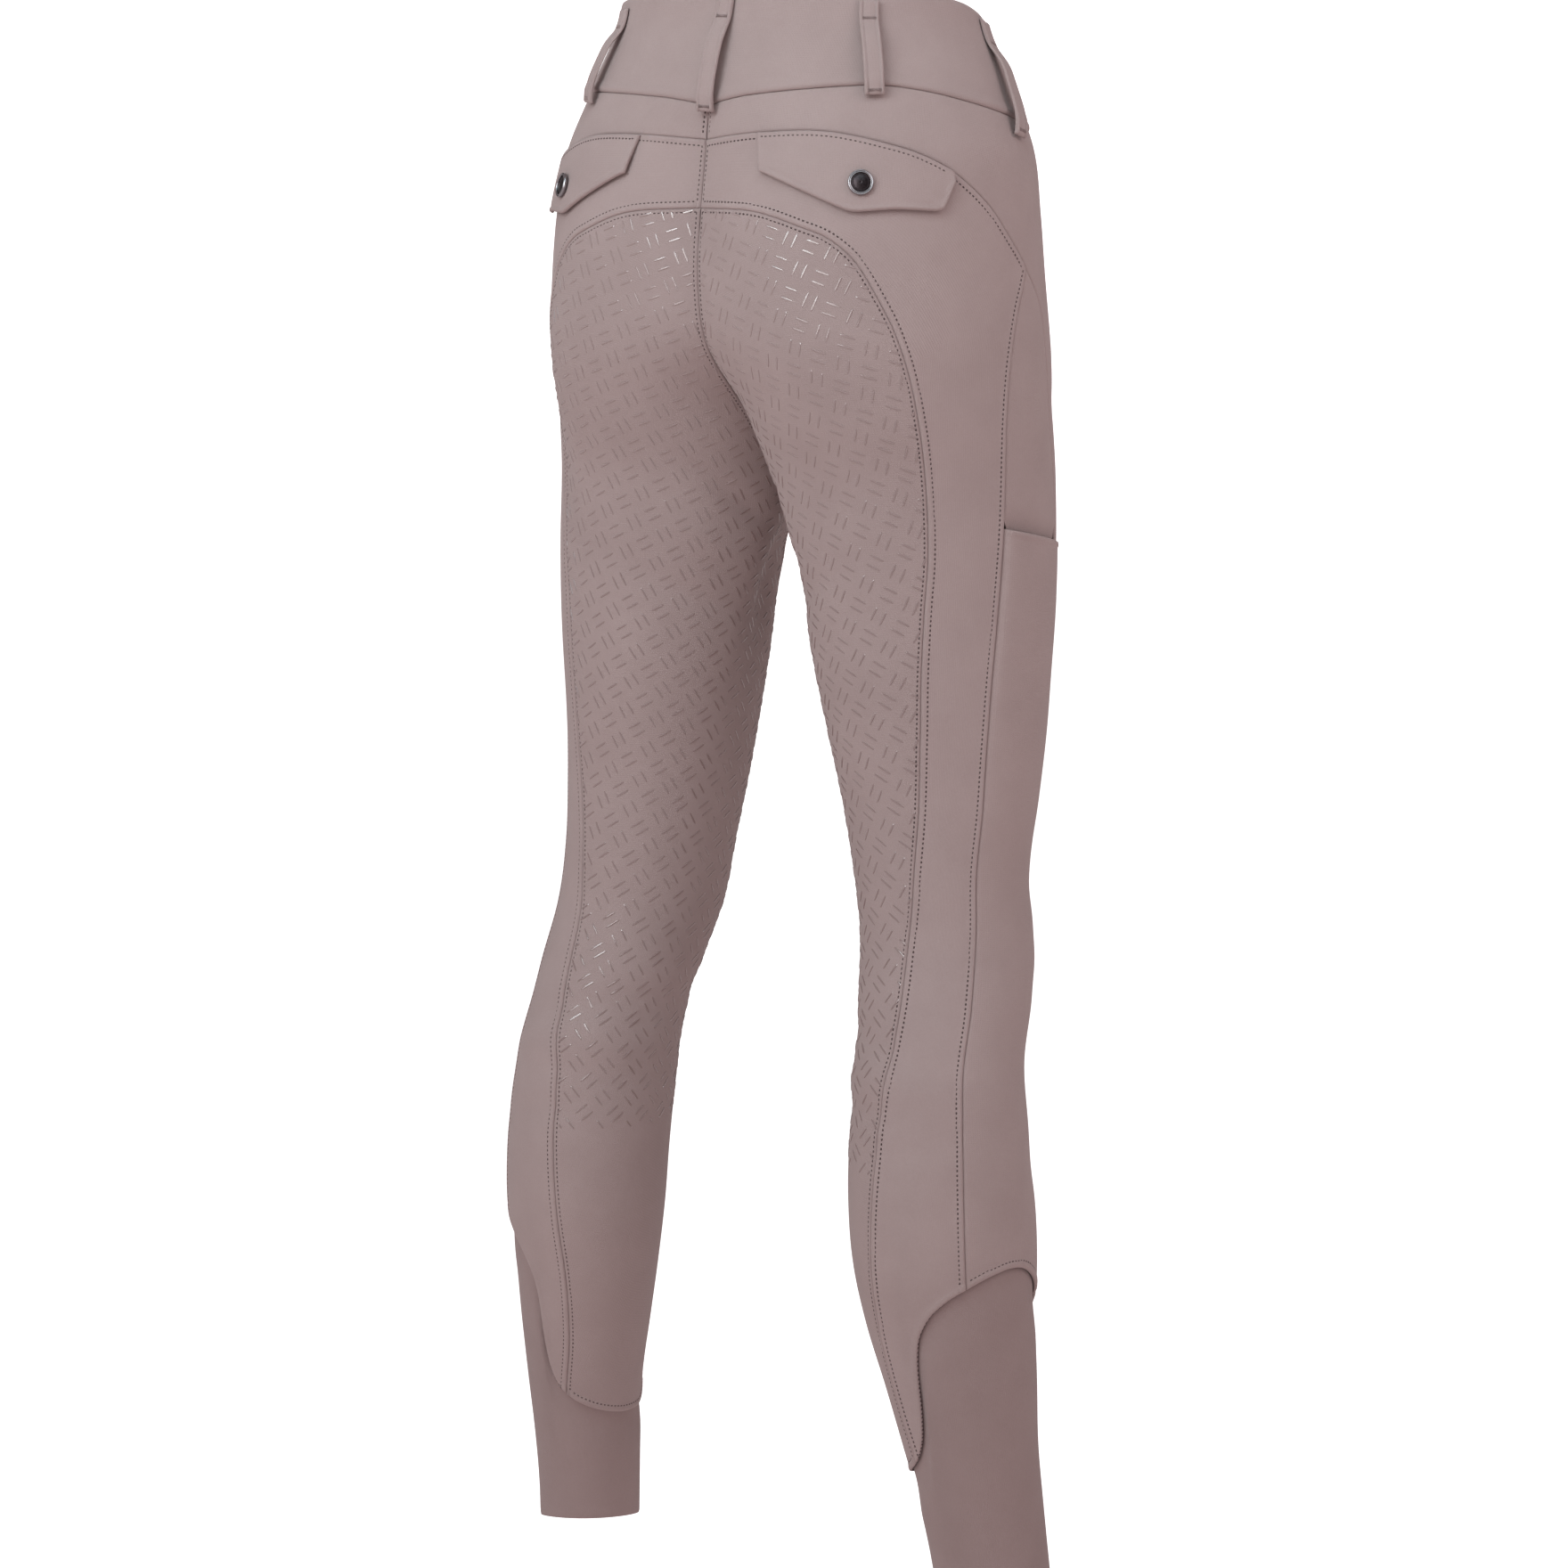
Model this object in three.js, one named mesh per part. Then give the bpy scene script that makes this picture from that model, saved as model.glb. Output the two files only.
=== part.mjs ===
// Full-seat riding breeches with a high waistband, yoke, pocket flaps and sock cuffs.
// Millimetres, +Z up. The front faces -Y and the wearer's left is at +X.
// The breeches stand open and filled out, with the legs a little apart.

import * as THREE from 'three';

// Sizes of the cloth

const SEAM_GAP = 0.3;            // gap between two pieces along a seam
const PANEL_WALL = 1.4;          // knitted shell fabric
const CUFF_WALL = 1.2;           // thinner elastic jersey of the sock cuff
const BAND_WALL = 2.4;           // waistband, two layers
const FLAP_WALL = 1.8;           // pocket flap, two layers
const LOOP_WALL = 1.6;           // belt loop, folded
const WAIST_LIFT = 14;           // puts the mean top edge of the waistband at z = 0
const CROTCH = -300;             // height where the four leg panels meet

// Body of one half. Heights run down from the waistline.
// centre: middle of the section in x, outer: outermost x, back and front: half depths,
// seamBack and seamFront: distance of the centre seams from the mid plane
const TORSO = [
  { z: 40, centre: 8, outer: 114, back: 84, front: 84, seamBack: 83.5, seamFront: 83.5 },
  { z: 0, centre: 10, outer: 117, back: 86, front: 86, seamBack: 85, seamFront: 85 },
  { z: -20, centre: 12, outer: 120.5, back: 88, front: 89, seamBack: 87, seamFront: 88 },
  { z: -60, centre: 24, outer: 138, back: 99, front: 99, seamBack: 95, seamFront: 98 },
  { z: -100, centre: 38, outer: 155, back: 110, front: 103, seamBack: 101, seamFront: 101 },
  { z: -140, centre: 48, outer: 160, back: 118, front: 102, seamBack: 107, seamFront: 100 },
  { z: -180, centre: 57, outer: 163, back: 121, front: 99, seamBack: 110, seamFront: 95 },
  { z: -220, centre: 66, outer: 166, back: 119, front: 95, seamBack: 100, seamFront: 85 },
  { z: -260, centre: 76, outer: 168, back: 106, front: 90, seamBack: 58, seamFront: 64 },
];

// Leg sections. inner: innermost x, depth: half depth, shift: middle of the section in y,
// skew: how far the section turns its long side outward and forward
const LEG = [
  { z: -300, centre: 85, outer: 169, inner: 0, depth: 90, shift: 0, skew: 0.02 },
  { z: -340, centre: 93, outer: 170, inner: 13, depth: 83, shift: 0, skew: 0.045 },
  { z: -380, centre: 98.5, outer: 169.5, inner: 25.5, depth: 77, shift: 1, skew: 0.062 },
  { z: -420, centre: 101.7, outer: 168.5, inner: 33.2, depth: 73, shift: 1.5, skew: 0.055 },
  { z: -460, centre: 105, outer: 168, inner: 41, depth: 68, shift: 1.7, skew: 0.042 },
  { z: -500, centre: 108, outer: 167, inner: 49, depth: 62, shift: 3, skew: 0.02 },
  { z: -540, centre: 111.3, outer: 165.3, inner: 57.3, depth: 58, shift: 6.4, skew: 0 },
  { z: -580, centre: 116.9, outer: 169.5, inner: 64.5, depth: 57, shift: 9.4, skew: 0 },
  { z: -620, centre: 124, outer: 176, inner: 72, depth: 56, shift: 21.6, skew: 0.015 },
  { z: -660, centre: 128.5, outer: 179.5, inner: 77.5, depth: 55, shift: 36, skew: 0.015 },
  { z: -700, centre: 132.6, outer: 185.6, inner: 79.6, depth: 56.5, shift: 41.7, skew: 0.026 },
  { z: -740, centre: 135.9, outer: 190, inner: 82, depth: 58, shift: 44, skew: 0.048 },
  { z: -780, centre: 138.4, outer: 191.5, inner: 85.4, depth: 57, shift: 43.5, skew: 0.057 },
  { z: -820, centre: 140.7, outer: 189, inner: 92.2, depth: 52, shift: 40, skew: 0.065 },
  { z: -860, centre: 145.4, outer: 189, inner: 102, depth: 47.5, shift: 35.2, skew: 0.058 },
  { z: -900, centre: 149.9, outer: 188.4, inner: 111.4, depth: 43, shift: 30.5, skew: 0.057 },
  { z: -940, centre: 153.9, outer: 189, inner: 119, depth: 40, shift: 23.3, skew: 0.052 },
  { z: -980, centre: 157.3, outer: 190.8, inner: 123.8, depth: 37.5, shift: 17.2, skew: 0.05 },
  { z: -1015, centre: 160, outer: 193, inner: 127, depth: 37, shift: 13.5, skew: 0.05 },
];

// Level edges. angle runs round the half: 0 at the side, positive to the back.

const BAND_TOP = [
  { angle: 115, z: -2 }, { angle: 80, z: -4 }, { angle: 50, z: -7 }, { angle: 20, z: -9 },
  { angle: 0, z: -13 }, { angle: -30, z: -23 }, { angle: -60, z: -25 }, { angle: -100, z: -26 },
];
const WAIST_SEAM = [
  { angle: 115, z: -77 }, { angle: 103, z: -73 }, { angle: 93, z: -70.5 },
  { angle: 71, z: -66.5 }, { angle: 57, z: -64.8 }, { angle: 47, z: -64 },
  { angle: 32, z: -67 }, { angle: 13, z: -74 }, { angle: -3, z: -80 },
  { angle: -30, z: -89 }, { angle: -60, z: -95 }, { angle: -105, z: -97 },
];
const CUFF_SEAM = [
  { angle: -180, z: -922 }, { angle: -159, z: -921 }, { angle: -130, z: -907 },
  { angle: -105, z: -882 }, { angle: -80, z: -851 }, { angle: -55, z: -820 },
  { angle: -35, z: -800 }, { angle: -19, z: -787.5 }, { angle: -8, z: -781 },
  { angle: 6, z: -778 }, { angle: 20, z: -780 }, { angle: 42, z: -788 },
  { angle: 59, z: -797 }, { angle: 74, z: -811 }, { angle: 82, z: -825 },
  { angle: 87, z: -843 }, { angle: 91, z: -866 }, { angle: 96, z: -884 },
  { angle: 103, z: -896 }, { angle: 115, z: -906 }, { angle: 128, z: -912 },
  { angle: 153, z: -919 }, { angle: 180, z: -922 }, { angle: 201, z: -921 },
  { angle: 230, z: -907 }, { angle: 260, z: -876 },
];
const HEM = -998;
const HEM_RISE = { angle: 124, rise: 8 };   // the hem is this much higher behind and inside

// Seams that run down. cuts: number of equal steps since the row before that has cuts.
// An angle of null lies on the centre back seam.

const YOKE_SEAM = [
  { angle: null, z: -95.5, cuts: 0 }, { angle: 83, z: -91.5 }, { angle: 64, z: -91.8 },
  { angle: 46, z: -99.6 }, { angle: 36, z: -106.2 }, { angle: 26, z: -116.5, cuts: 9 },
  { angle: 14, z: -135 }, { angle: 7, z: -150.7 }, { angle: -3, z: -173, cuts: 3 },
];
const FRONT_SEAM = [
  { angle: -3, z: -173, cuts: 0 }, { angle: -9, z: -184 }, { angle: -15, z: -200 },
  { angle: -18, z: -226 }, { angle: -21, z: -254 }, { angle: -27.6, z: -341, cuts: 6 },
  { angle: -33, z: -420 }, { angle: -38, z: -600 }, { angle: -40, z: -804.6, cuts: 20 },
];
const HIP_SEAM = [
  { angle: -3, z: -173, cuts: 0 }, { angle: 5, z: -207 }, { angle: 11.9, z: -260 },
  { angle: 16.1, z: -329, cuts: 6 }, { angle: 21, z: -401 }, { angle: 28.7, z: -479 },
  { angle: 33.9, z: -549 }, { angle: 38, z: -610 }, { angle: 40, z: -690 },
  { angle: 42, z: -788, cuts: 20 },
];
const SEAT_SEAM = [
  { angle: null, z: -136.5, cuts: 0 }, { angle: 91, z: -138.8 }, { angle: 74, z: -149 },
  { angle: 66, z: -156 }, { angle: 59, z: -169, cuts: 9 }, { angle: 53.4, z: -190 },
  { angle: 49.2, z: -211 }, { angle: 47.3, z: -235 }, { angle: 48, z: -268 },
  { angle: 50.5, z: -300, cuts: 6 }, { angle: 54, z: -345 }, { angle: 59, z: -385 },
  { angle: 65, z: -454 }, { angle: 74, z: -541 }, { angle: 83, z: -590 },
  { angle: 91.6, z: -650 }, { angle: 99, z: -686 }, { angle: 103, z: -722 },
  { angle: 107.7, z: -765 }, { angle: 113, z: -820 }, { angle: 115.5, z: -865 },
  { angle: 112, z: -903.7, cuts: 23 },
];
const INNER_SEAM = [
  { angle: 180, z: -300, cuts: 0 }, { angle: 205, z: -335 }, { angle: 222, z: -372 },
  { angle: 229, z: -430 }, { angle: 232, z: -600 }, { angle: 230, z: -907, cuts: 23 },
];
const RISE_BACK_CUTS = 6;        // steps of the centre back seam under the seat seam
const RISE_FRONT_CUTS = 8;       // steps of the centre front seam
const FRONT_COLUMNS = 10;
const HIP_COLUMNS = 5;
const SIDE_COLUMNS = 4;
const YOKE_ROWS = 2;

const SIDE_CORNER = 9;           // yoke node where the yoke ends and the front begins
const OPENING = 6;               // node of the side seams at the pocket opening
const SEAT_COLUMNS = 9;          // steps of the seat seam from the centre back to its shoulder
const SEAT_PART = 15;            // row of the seat panel, above the knee, at which its solid is parted
const CUFF_BLEND = 9;            // rows over which a panel takes the bend of the cuff seam

// Phone pocket

const POCKET_STAND = 3;          // stand-off of the pocket opening
const POCKET_MOUTH = 6;          // the backing leaves the seams this far above the opening
const POCKET_DEPTH = 170;        // how far the backing reaches down inside
const POCKET_EASE = 230;         // the stand-off has gone this far under the opening
const BACKING_INSET = 4;         // the backing is this much narrower under the opening
const BACKING_SINK = 1.9;        // it lies this far inside the leg there

// Sock cuff

const TUCK = 4;
const CUFF_FACE = -2.3;          // outer face of the cuff under the panels

// Waistband. at: share of its height from the top, proud: how far it stands over the body

const BAND_ROWS = [
  { at: 0, proud: 0.2 }, { at: 0.1, proud: 0.8 }, { at: 0.5, proud: 0.6 },
  { at: 0.85, proud: 0.9 }, { at: 0.95, proud: 1.4 }, { at: 1, proud: 0.5 },
];

// Back pocket flap. FLAP_EDGE holds the corners of its free edge.

const FLAP_EDGE = [
  { angle: 86.5, z: -115.5 }, { angle: 61, z: -139 },
  { angle: 32, z: -139 }, { angle: 27, z: -119 },
];
const FLAP_COLUMNS = [86.5, 80, 73, 67, 61, 54, 46, 39, 32, 27];
const FLAP_ROWS = 4;
const FLAP_STAND = 0.55;         // clearance of the flap at its sewn top edge
const FLAP_LIFT = 1.1;           // extra clearance at its free edge

// Buttons

const BUTTON = { rim: 7.7, bore: 5.9, centre: 5.55, height: 2.2, dome: 1.9 };
const FLAP_BUTTON = { angle: 56, z: -123 };
const BAND_BUTTONS = [{ x: 12, z: -42 }, { x: 12, z: -76 }];

// Belt loops. The one at the back leans over the centre seam: x at its top, lean to its foot.
// On the others top and foot give the angle and start and end the height of each end.

const LOOP_WIDTH = 12;
const LOOP_STAND = 6.6;          // clearance of the loop over the body, for the belt
const LOOP_FLAT = 1.7;           // clearance where it is tacked flat
const LOOPS = [
  { name: 'belt-loop-back', x: -7, lean: 5, start: -8, end: -79 },
  { name: 'belt-loop-back-left', side: 1, top: 47, foot: 51, start: -14, end: -72 },
  { name: 'belt-loop-back-right', side: -1, top: 43, foot: 48, start: -14, end: -71 },
  { name: 'belt-loop-side-left', side: 1, top: -14, foot: -5, start: -24, end: -94 },
  { name: 'belt-loop-side-right', side: -1, top: -14, foot: -5, start: -24, end: -94 },
  { name: 'belt-loop-front-left', side: 1, top: -57, foot: -65, start: -30, end: -107 },
  { name: 'belt-loop-front-right', side: -1, top: -57, foot: -65, start: -30, end: -107 },
];
// at: share of the length, stand: share of the full stand-off
const LOOP_PATH = [
  { at: 0, stand: 0 }, { at: 0.12, stand: 0 }, { at: 0.22, stand: 0.06 }, { at: 0.32, stand: 0.55 },
  { at: 0.42, stand: 0.95 }, { at: 0.55, stand: 1 }, { at: 0.7, stand: 1 }, { at: 0.82, stand: 0.95 },
  { at: 0.92, stand: 0.6 }, { at: 1, stand: 0.02 },
];

// Fly

const FLY = { width: 32, overlap: 3, length: 132, wall: 1.8, stand: 0.8, round: 30 };

// Interpolation

const deg = Math.PI / 180;

// Smooth curve through a column of a table, against z or against the angle
function column(rows, name, key = 'z') {
  const sorted = [...rows].sort((a, b) => a[key] - b[key]);
  const x = sorted.map((row) => row[key]);
  const y = sorted.map((row) => row[name]);
  const slope = x.map((_, i) => {
    if (i === 0) return (y[1] - y[0]) / (x[1] - x[0]);
    if (i === x.length - 1) return (y[i] - y[i - 1]) / (x[i] - x[i - 1]);
    const before = x[i] - x[i - 1];
    const after = x[i + 1] - x[i];
    const rise = (y[i] - y[i - 1]) / before;
    return (rise * after + ((y[i + 1] - y[i]) / after) * before) / (before + after);
  });
  return (at) => {
    let i = 0;
    while (i < x.length - 2 && at > x[i + 1]) i += 1;
    const h = x[i + 1] - x[i];
    const t = (at - x[i]) / h;
    return ((2 * t - 3) * t * t + 1) * y[i] + ((t - 2) * t + 1) * t * slope[i] * h
      + (3 - 2 * t) * t * t * y[i + 1] + (t - 1) * t * t * slope[i + 1] * h;
  };
}

const mix = (a, b, t) => a + (b - a) * t;
const clamp = (value, low, high) => Math.min(high, Math.max(low, value));
const ease = (t) => clamp(t, 0, 1) ** 2 * (3 - 2 * clamp(t, 0, 1));

// Body surface

const whole = [
  ...TORSO.map((row) => ({ shift: 0, skew: 0, ...row })),
  ...LEG.map((row) => ({ back: row.depth, front: row.depth, ...row })),
];
const centreX = column(whole, 'centre');
const outerX = column(whole, 'outer');
const backDepth = column(whole, 'back');
const frontDepth = column(whole, 'front');
const shiftY = column(whole, 'shift');
const innerX = column(LEG, 'inner');
const legSkew = column(whole, 'skew');
const seamBackY = column(TORSO, 'seamBack');
const seamFrontY = column(TORSO, 'seamFront');
const RISE_TOP = -260;           // the rise curves run under the body below this height
const RISE_BEND = 0.6;           // how round they turn there

// Where a centre seam lies, as a share of the depth of the section
function seamShare(seamY, depth, z) {
  const y = z > RISE_TOP
    ? seamY(z)
    : seamY(RISE_TOP) * ((z - CROTCH) / (RISE_TOP - CROTCH)) ** RISE_BEND;
  return clamp(y / depth, 0, 0.995);
}

function section(z) {
  const centre = centreX(z);
  const part = {
    centre,
    outer: outerX(z) - centre,
    back: backDepth(z),
    front: frontDepth(z),
    shift: shiftY(z),
    skew: legSkew(z),
    innerBack: centre,
    innerFront: centre,
    angleBack: Math.PI,
    angleFront: -Math.PI,
  };
  if (z > CROTCH) {
    const shareBack = seamShare(seamBackY, part.back, z);
    const shareFront = seamShare(seamFrontY, part.front, z);
    part.innerBack = centre / Math.sqrt(1 - shareBack ** 2);
    part.innerFront = centre / Math.sqrt(1 - shareFront ** 2);
    part.angleBack = Math.PI - Math.asin(shareBack);
    part.angleFront = Math.asin(shareFront) - Math.PI;
  } else {
    part.innerBack = centre - innerX(z);
    part.innerFront = part.innerBack;
  }
  return part;
}

// Point of the outer face of the cloth, at an angle in radians, for a side of 1 or -1
function surface(side, angle, z) {
  const part = section(z);
  const c = Math.cos(angle);
  const s = Math.sin(angle);
  const inner = s >= 0 ? part.innerBack : part.innerFront;
  const width = c >= 0 ? part.outer : inner;
  const depth = s >= 0 ? part.back : part.front;
  const skew = 1 - part.skew * Math.sin(2 * angle);
  return new THREE.Vector3(
    side * (part.centre + width * c * skew),
    part.shift + depth * s * skew,
    z,
  );
}

function normal(side, angle, z) {
  const turn = 0.004;
  const drop = 0.5;
  const round = surface(side, angle + turn, z).sub(surface(side, angle - turn, z));
  const down = surface(side, angle, z + drop).sub(surface(side, angle, z - drop));
  return round.cross(down).multiplyScalar(side).normalize();
}

const angleBackAt = (z) => section(z).angleBack;
const angleFrontAt = (z) => section(z).angleFront;

// Angle of the front where a half has the given x
function angleAtX(x, z) {
  const part = section(z);
  return -Math.acos(clamp((x - part.centre) / part.innerFront, -1, 1));
}

const atAngle = (rows) => {
  const curve = column(rows, 'z', 'angle');
  return (angle) => curve(angle / deg);
};
const bandTop = atAngle(BAND_TOP);
const waistSeam = atAngle(WAIST_SEAM);
const cuffSeam = atAngle(CUFF_SEAM);

// Points at equal steps along a curve of parameter points
function equalSteps(curve, from, to, cuts) {
  const fine = 12 * cuts;
  const marks = [0];
  let last = null;
  for (let i = 0; i <= fine; i += 1) {
    const at = curve(mix(from, to, i / fine));
    const point = surface(1, at.angle, at.z);
    if (last) marks.push(marks[i - 1] + point.distanceTo(last));
    last = point;
  }
  const nodes = [];
  let i = 0;
  for (let n = 1; n <= cuts; n += 1) {
    const wanted = (marks[fine] * n) / cuts;
    while (i < fine - 1 && marks[i + 1] < wanted) i += 1;
    const t = (i + (wanted - marks[i]) / (marks[i + 1] - marks[i])) / fine;
    nodes.push(curve(mix(from, to, n === cuts ? 1 : t)));
  }
  return nodes;
}

// Nodes of a seam that runs down, from its table
function seamNodes(rows) {
  const table = rows.map((row, at) => ({
    at,
    z: row.z,
    angle: row.angle === null ? angleBackAt(row.z) : row.angle * deg,
  }));
  const angle = column(table, 'angle', 'at');
  const z = column(table, 'z', 'at');
  const curve = (at) => ({ angle: angle(at), z: z(at) });
  const nodes = [curve(0)];
  let start = 0;
  rows.forEach((row, at) => {
    if (!row.cuts) return;
    nodes.push(...equalSteps(curve, start, at, row.cuts));
    start = at;
  });
  return nodes;
}

// Nodes of an edge that runs round, as z against the angle
function levelNodes(height, from, to, cuts) {
  const curve = (angle) => ({ angle, z: height(angle) });
  return [curve(from), ...equalSteps(curve, from, to, cuts)];
}

function riseNodes(angleAt, top, cuts) {
  const curve = (t) => {
    const z = mix(top, CROTCH, t);
    return { angle: angleAt(z), z };
  };
  return [curve(0), ...equalSteps(curve, 0, 1, cuts)];
}

// Seams of one half

const yoke = seamNodes(YOKE_SEAM);
const frontSeam = seamNodes(FRONT_SEAM);
const hipSeam = seamNodes(HIP_SEAM);
const seatSeam = seamNodes(SEAT_SEAM);
const innerSeam = seamNodes(INNER_SEAM);
const riseBack = riseNodes(angleBackAt, SEAT_SEAM[0].z, RISE_BACK_CUTS);
const frontTop = waistSeam(angleFrontAt(-97));
const riseFront = riseNodes(angleFrontAt, frontTop, RISE_FRONT_CUTS);
const corner = yoke[SIDE_CORNER];
const waistBack = yoke.slice(0, SIDE_CORNER + 1).map((node, i) => {
  const angle = i === 0 ? angleBackAt(WAIST_SEAM[0].z) : node.angle;
  return { angle, z: waistSeam(angle) };
});
const waistFront = levelNodes(waistSeam, corner.angle, riseFront[0].angle, FRONT_COLUMNS);
waistFront[FRONT_COLUMNS] = riseFront[0];
const last = (nodes) => nodes[nodes.length - 1];
const turned = (node, turn) => ({ angle: node.angle + turn * 2 * Math.PI, z: node.z });
const cuffBack = levelNodes(cuffSeam, last(seatSeam).angle, last(innerSeam).angle, SEAT_COLUMNS);
const cuffHip = levelNodes(cuffSeam, last(hipSeam).angle, last(seatSeam).angle, HIP_COLUMNS);
const cuffSide = levelNodes(cuffSeam, last(frontSeam).angle, last(hipSeam).angle, SIDE_COLUMNS);
const innerFront = innerSeam.map((node) => turned(node, -1));
const cuffFront = levelNodes(cuffSeam, last(innerFront).angle, last(frontSeam).angle, FRONT_COLUMNS);

// Grids of parameter points

// Fills a four-sided piece. left and right run down, top and bottom run across.
// The bend of the top edge dies out over topRows, that of the bottom edge over bottomRows.
function fill(left, right, top, bottom, topRows, bottomRows) {
  const rows = left.length - 1;
  const columns = top.length - 1;
  const grid = [];
  for (let j = 0; j <= rows; j += 1) {
    const fromTop = 1 - ease(j / topRows);
    const fromBottom = 1 - ease((rows - j) / bottomRows);
    const line = [];
    for (let i = 0; i <= columns; i += 1) {
      const u = i / columns;
      const node = {};
      for (const name of ['angle', 'z']) {
        const straight = mix(left[j][name], right[j][name], u);
        const topBend = top[i][name] - mix(top[0][name], top[columns][name], u);
        const bottomBend = bottom[i][name] - mix(bottom[0][name], bottom[columns][name], u);
        node[name] = straight + topBend * fromTop + bottomBend * fromBottom;
      }
      line.push(node);
    }
    grid.push(line);
  }
  return grid;
}

function straightLine(from, to, cuts) {
  const line = [];
  for (let i = 0; i <= cuts; i += 1) {
    const t = i / cuts;
    line.push({ angle: mix(from.angle, to.angle, t), z: mix(from.z, to.z, t) });
  }
  return line;
}

const transpose = (grid) => grid[0].map((_, i) => grid.map((line) => line[i]));

// Cloth walls

// Moves the points of one grid edge into the piece, so that the seam gap stays open
function shiftEdge(points, faces, line, inward) {
  const moves = line.map(([j, i], k) => {
    const [jb, ib] = line[Math.max(k - 1, 0)];
    const [ja, ia] = line[Math.min(k + 1, line.length - 1)];
    const along = points[ja][ia].clone().sub(points[jb][ib]);
    return along.cross(faces[j][i]).normalize();
  });
  const [j0, i0] = line[Math.floor(line.length / 2)];
  const [dj, di] = inward;
  const inside = points[j0 + dj][i0 + di].clone().sub(points[j0][i0]);
  const sign = inside.dot(moves[Math.floor(line.length / 2)]) > 0 ? 1 : -1;
  return moves.map((move) => move.multiplyScalar(sign));
}

// Builds the outer and inner points of a grid. out and inn give the offset of both faces
// from the body surface; gaps gives the inward move of each edge.
function wallGrid(side, grid, { out, inn, gaps = {} }) {
  const points = grid.map((line) => line.map((n) => surface(side, n.angle, n.z)));
  const faces = grid.map((line) => line.map((n) => normal(side, n.angle, n.z)));
  const rows = grid.length - 1;
  const columns = grid[0].length - 1;
  const across = (j) => grid[0].map((_, i) => [j, i]);
  const down = (i) => grid.map((_, j) => [j, i]);
  const edges = {
    top: [across(0), [1, 0]],
    bottom: [across(rows), [-1, 0]],
    left: [down(0), [0, 1]],
    right: [down(columns), [0, -1]],
  };
  const moves = points.map((line) => line.map(() => new THREE.Vector3()));
  for (const [name, amount] of Object.entries(gaps)) {
    const [line, inward] = edges[name];
    shiftEdge(points, faces, line, inward).forEach((move, k) => {
      const [j, i] = line[k];
      moves[j][i].addScaledVector(move, amount);
    });
  }
  const face = (offset) => points.map((line, j) => line.map((point, i) => {
    const node = grid[j][i];
    const amount = offset(i / columns, j / rows, node);
    const centred = Math.abs(point.x) < 0.01;
    const way = faces[j][i].clone();
    let reach = 1;
    if (centred) {
      way.x = 0;
      reach = Math.min(1 / Math.max(way.length(), 0.01), 2);
      way.normalize();
    }
    const moved = point.clone().add(moves[j][i]).addScaledVector(way, amount * reach);
    moved.x = side * Math.max(side * moved.x, SEAM_GAP / 2);
    return moved;
  }));
  return { outer: face(out), inner: face(inn), keys: grid };
}

// Closes one or more grids that share edges into one solid mesh
function wallMesh(name, look, walls) {
  const outer = [];
  const inner = [];
  const index = new Map();
  const quads = [];
  for (const wall of walls) {
    const ids = wall.keys.map((line, j) => line.map((node, i) => {
      const key = node.key ?? `${node.angle.toFixed(6)},${node.z.toFixed(4)}`;
      if (!index.has(key)) {
        index.set(key, outer.length);
        outer.push(wall.outer[j][i]);
        inner.push(wall.inner[j][i]);
      }
      return index.get(key);
    }));
    for (let j = 0; j + 1 < ids.length; j += 1) {
      for (let i = 0; i + 1 < ids[0].length; i += 1) {
        quads.push([ids[j][i], ids[j + 1][i], ids[j + 1][i + 1], ids[j][i + 1]]);
      }
    }
  }
  const count = outer.length;
  const used = new Map();
  const triangles = [];
  for (const quad of quads) {
    const [a, b, c, d] = quad;
    const [first, second] = outer[a].distanceTo(outer[c]) < outer[b].distanceTo(outer[d])
      ? [[a, b, c], [a, c, d]] : [[a, b, d], [b, c, d]];
    for (const [p, q, r] of [first, second]) {
      triangles.push([p, q, r], [r + count, q + count, p + count]);
    }
    quad.forEach((from, k) => {
      const to = quad[(k + 1) % 4];
      used.set(`${from},${to}`, [from, to]);
    });
  }
  for (const [from, to] of used.values()) {
    if (used.has(`${to},${from}`)) continue;
    triangles.push([to, from, from + count], [to, from + count, to + count]);
  }
  return closedMesh(name, look, [...outer, ...inner], triangles);
}

// A mesh from points and triangles, turned the right way round
function closedMesh(name, look, points, triangles) {
  let volume = 0;
  for (const [a, b, c] of triangles) {
    volume += points[a].dot(points[b].clone().cross(points[c]));
  }
  const geometry = new THREE.BufferGeometry();
  geometry.setAttribute('position', new THREE.BufferAttribute(
    new Float32Array(points.flatMap((p) => [p.x, p.y, p.z])), 3,
  ));
  const faces = volume > 0 ? triangles : triangles.map(([a, b, c]) => [a, c, b]);
  geometry.setIndex(faces.flat());
  geometry.computeVertexNormals();
  const mesh = new THREE.Mesh(geometry, new THREE.MeshStandardMaterial(look));
  mesh.name = name;
  mesh.position.z = WAIST_LIFT;
  return mesh;
}

// Looks

const SHELL = { color: 0x9a8482, roughness: 0.88, metalness: 0 };
const SEAT = { color: 0x927b7a, roughness: 0.8, metalness: 0 };
const JERSEY = { color: 0x85706f, roughness: 0.9, metalness: 0 };
const BAND = { color: 0xa69291, roughness: 0.88, metalness: 0 };
const BRIGHT = { color: 0xa8a6a8, roughness: 0.25, metalness: 1 };
const GUNMETAL = { color: 0x2f2c2f, roughness: 0.35, metalness: 0.9 };

const flat = (value) => () => value;
const HALF_GAP = SEAM_GAP / 2;
const panel = { out: flat(0), inn: flat(-PANEL_WALL) };

// Panels of one half

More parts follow.
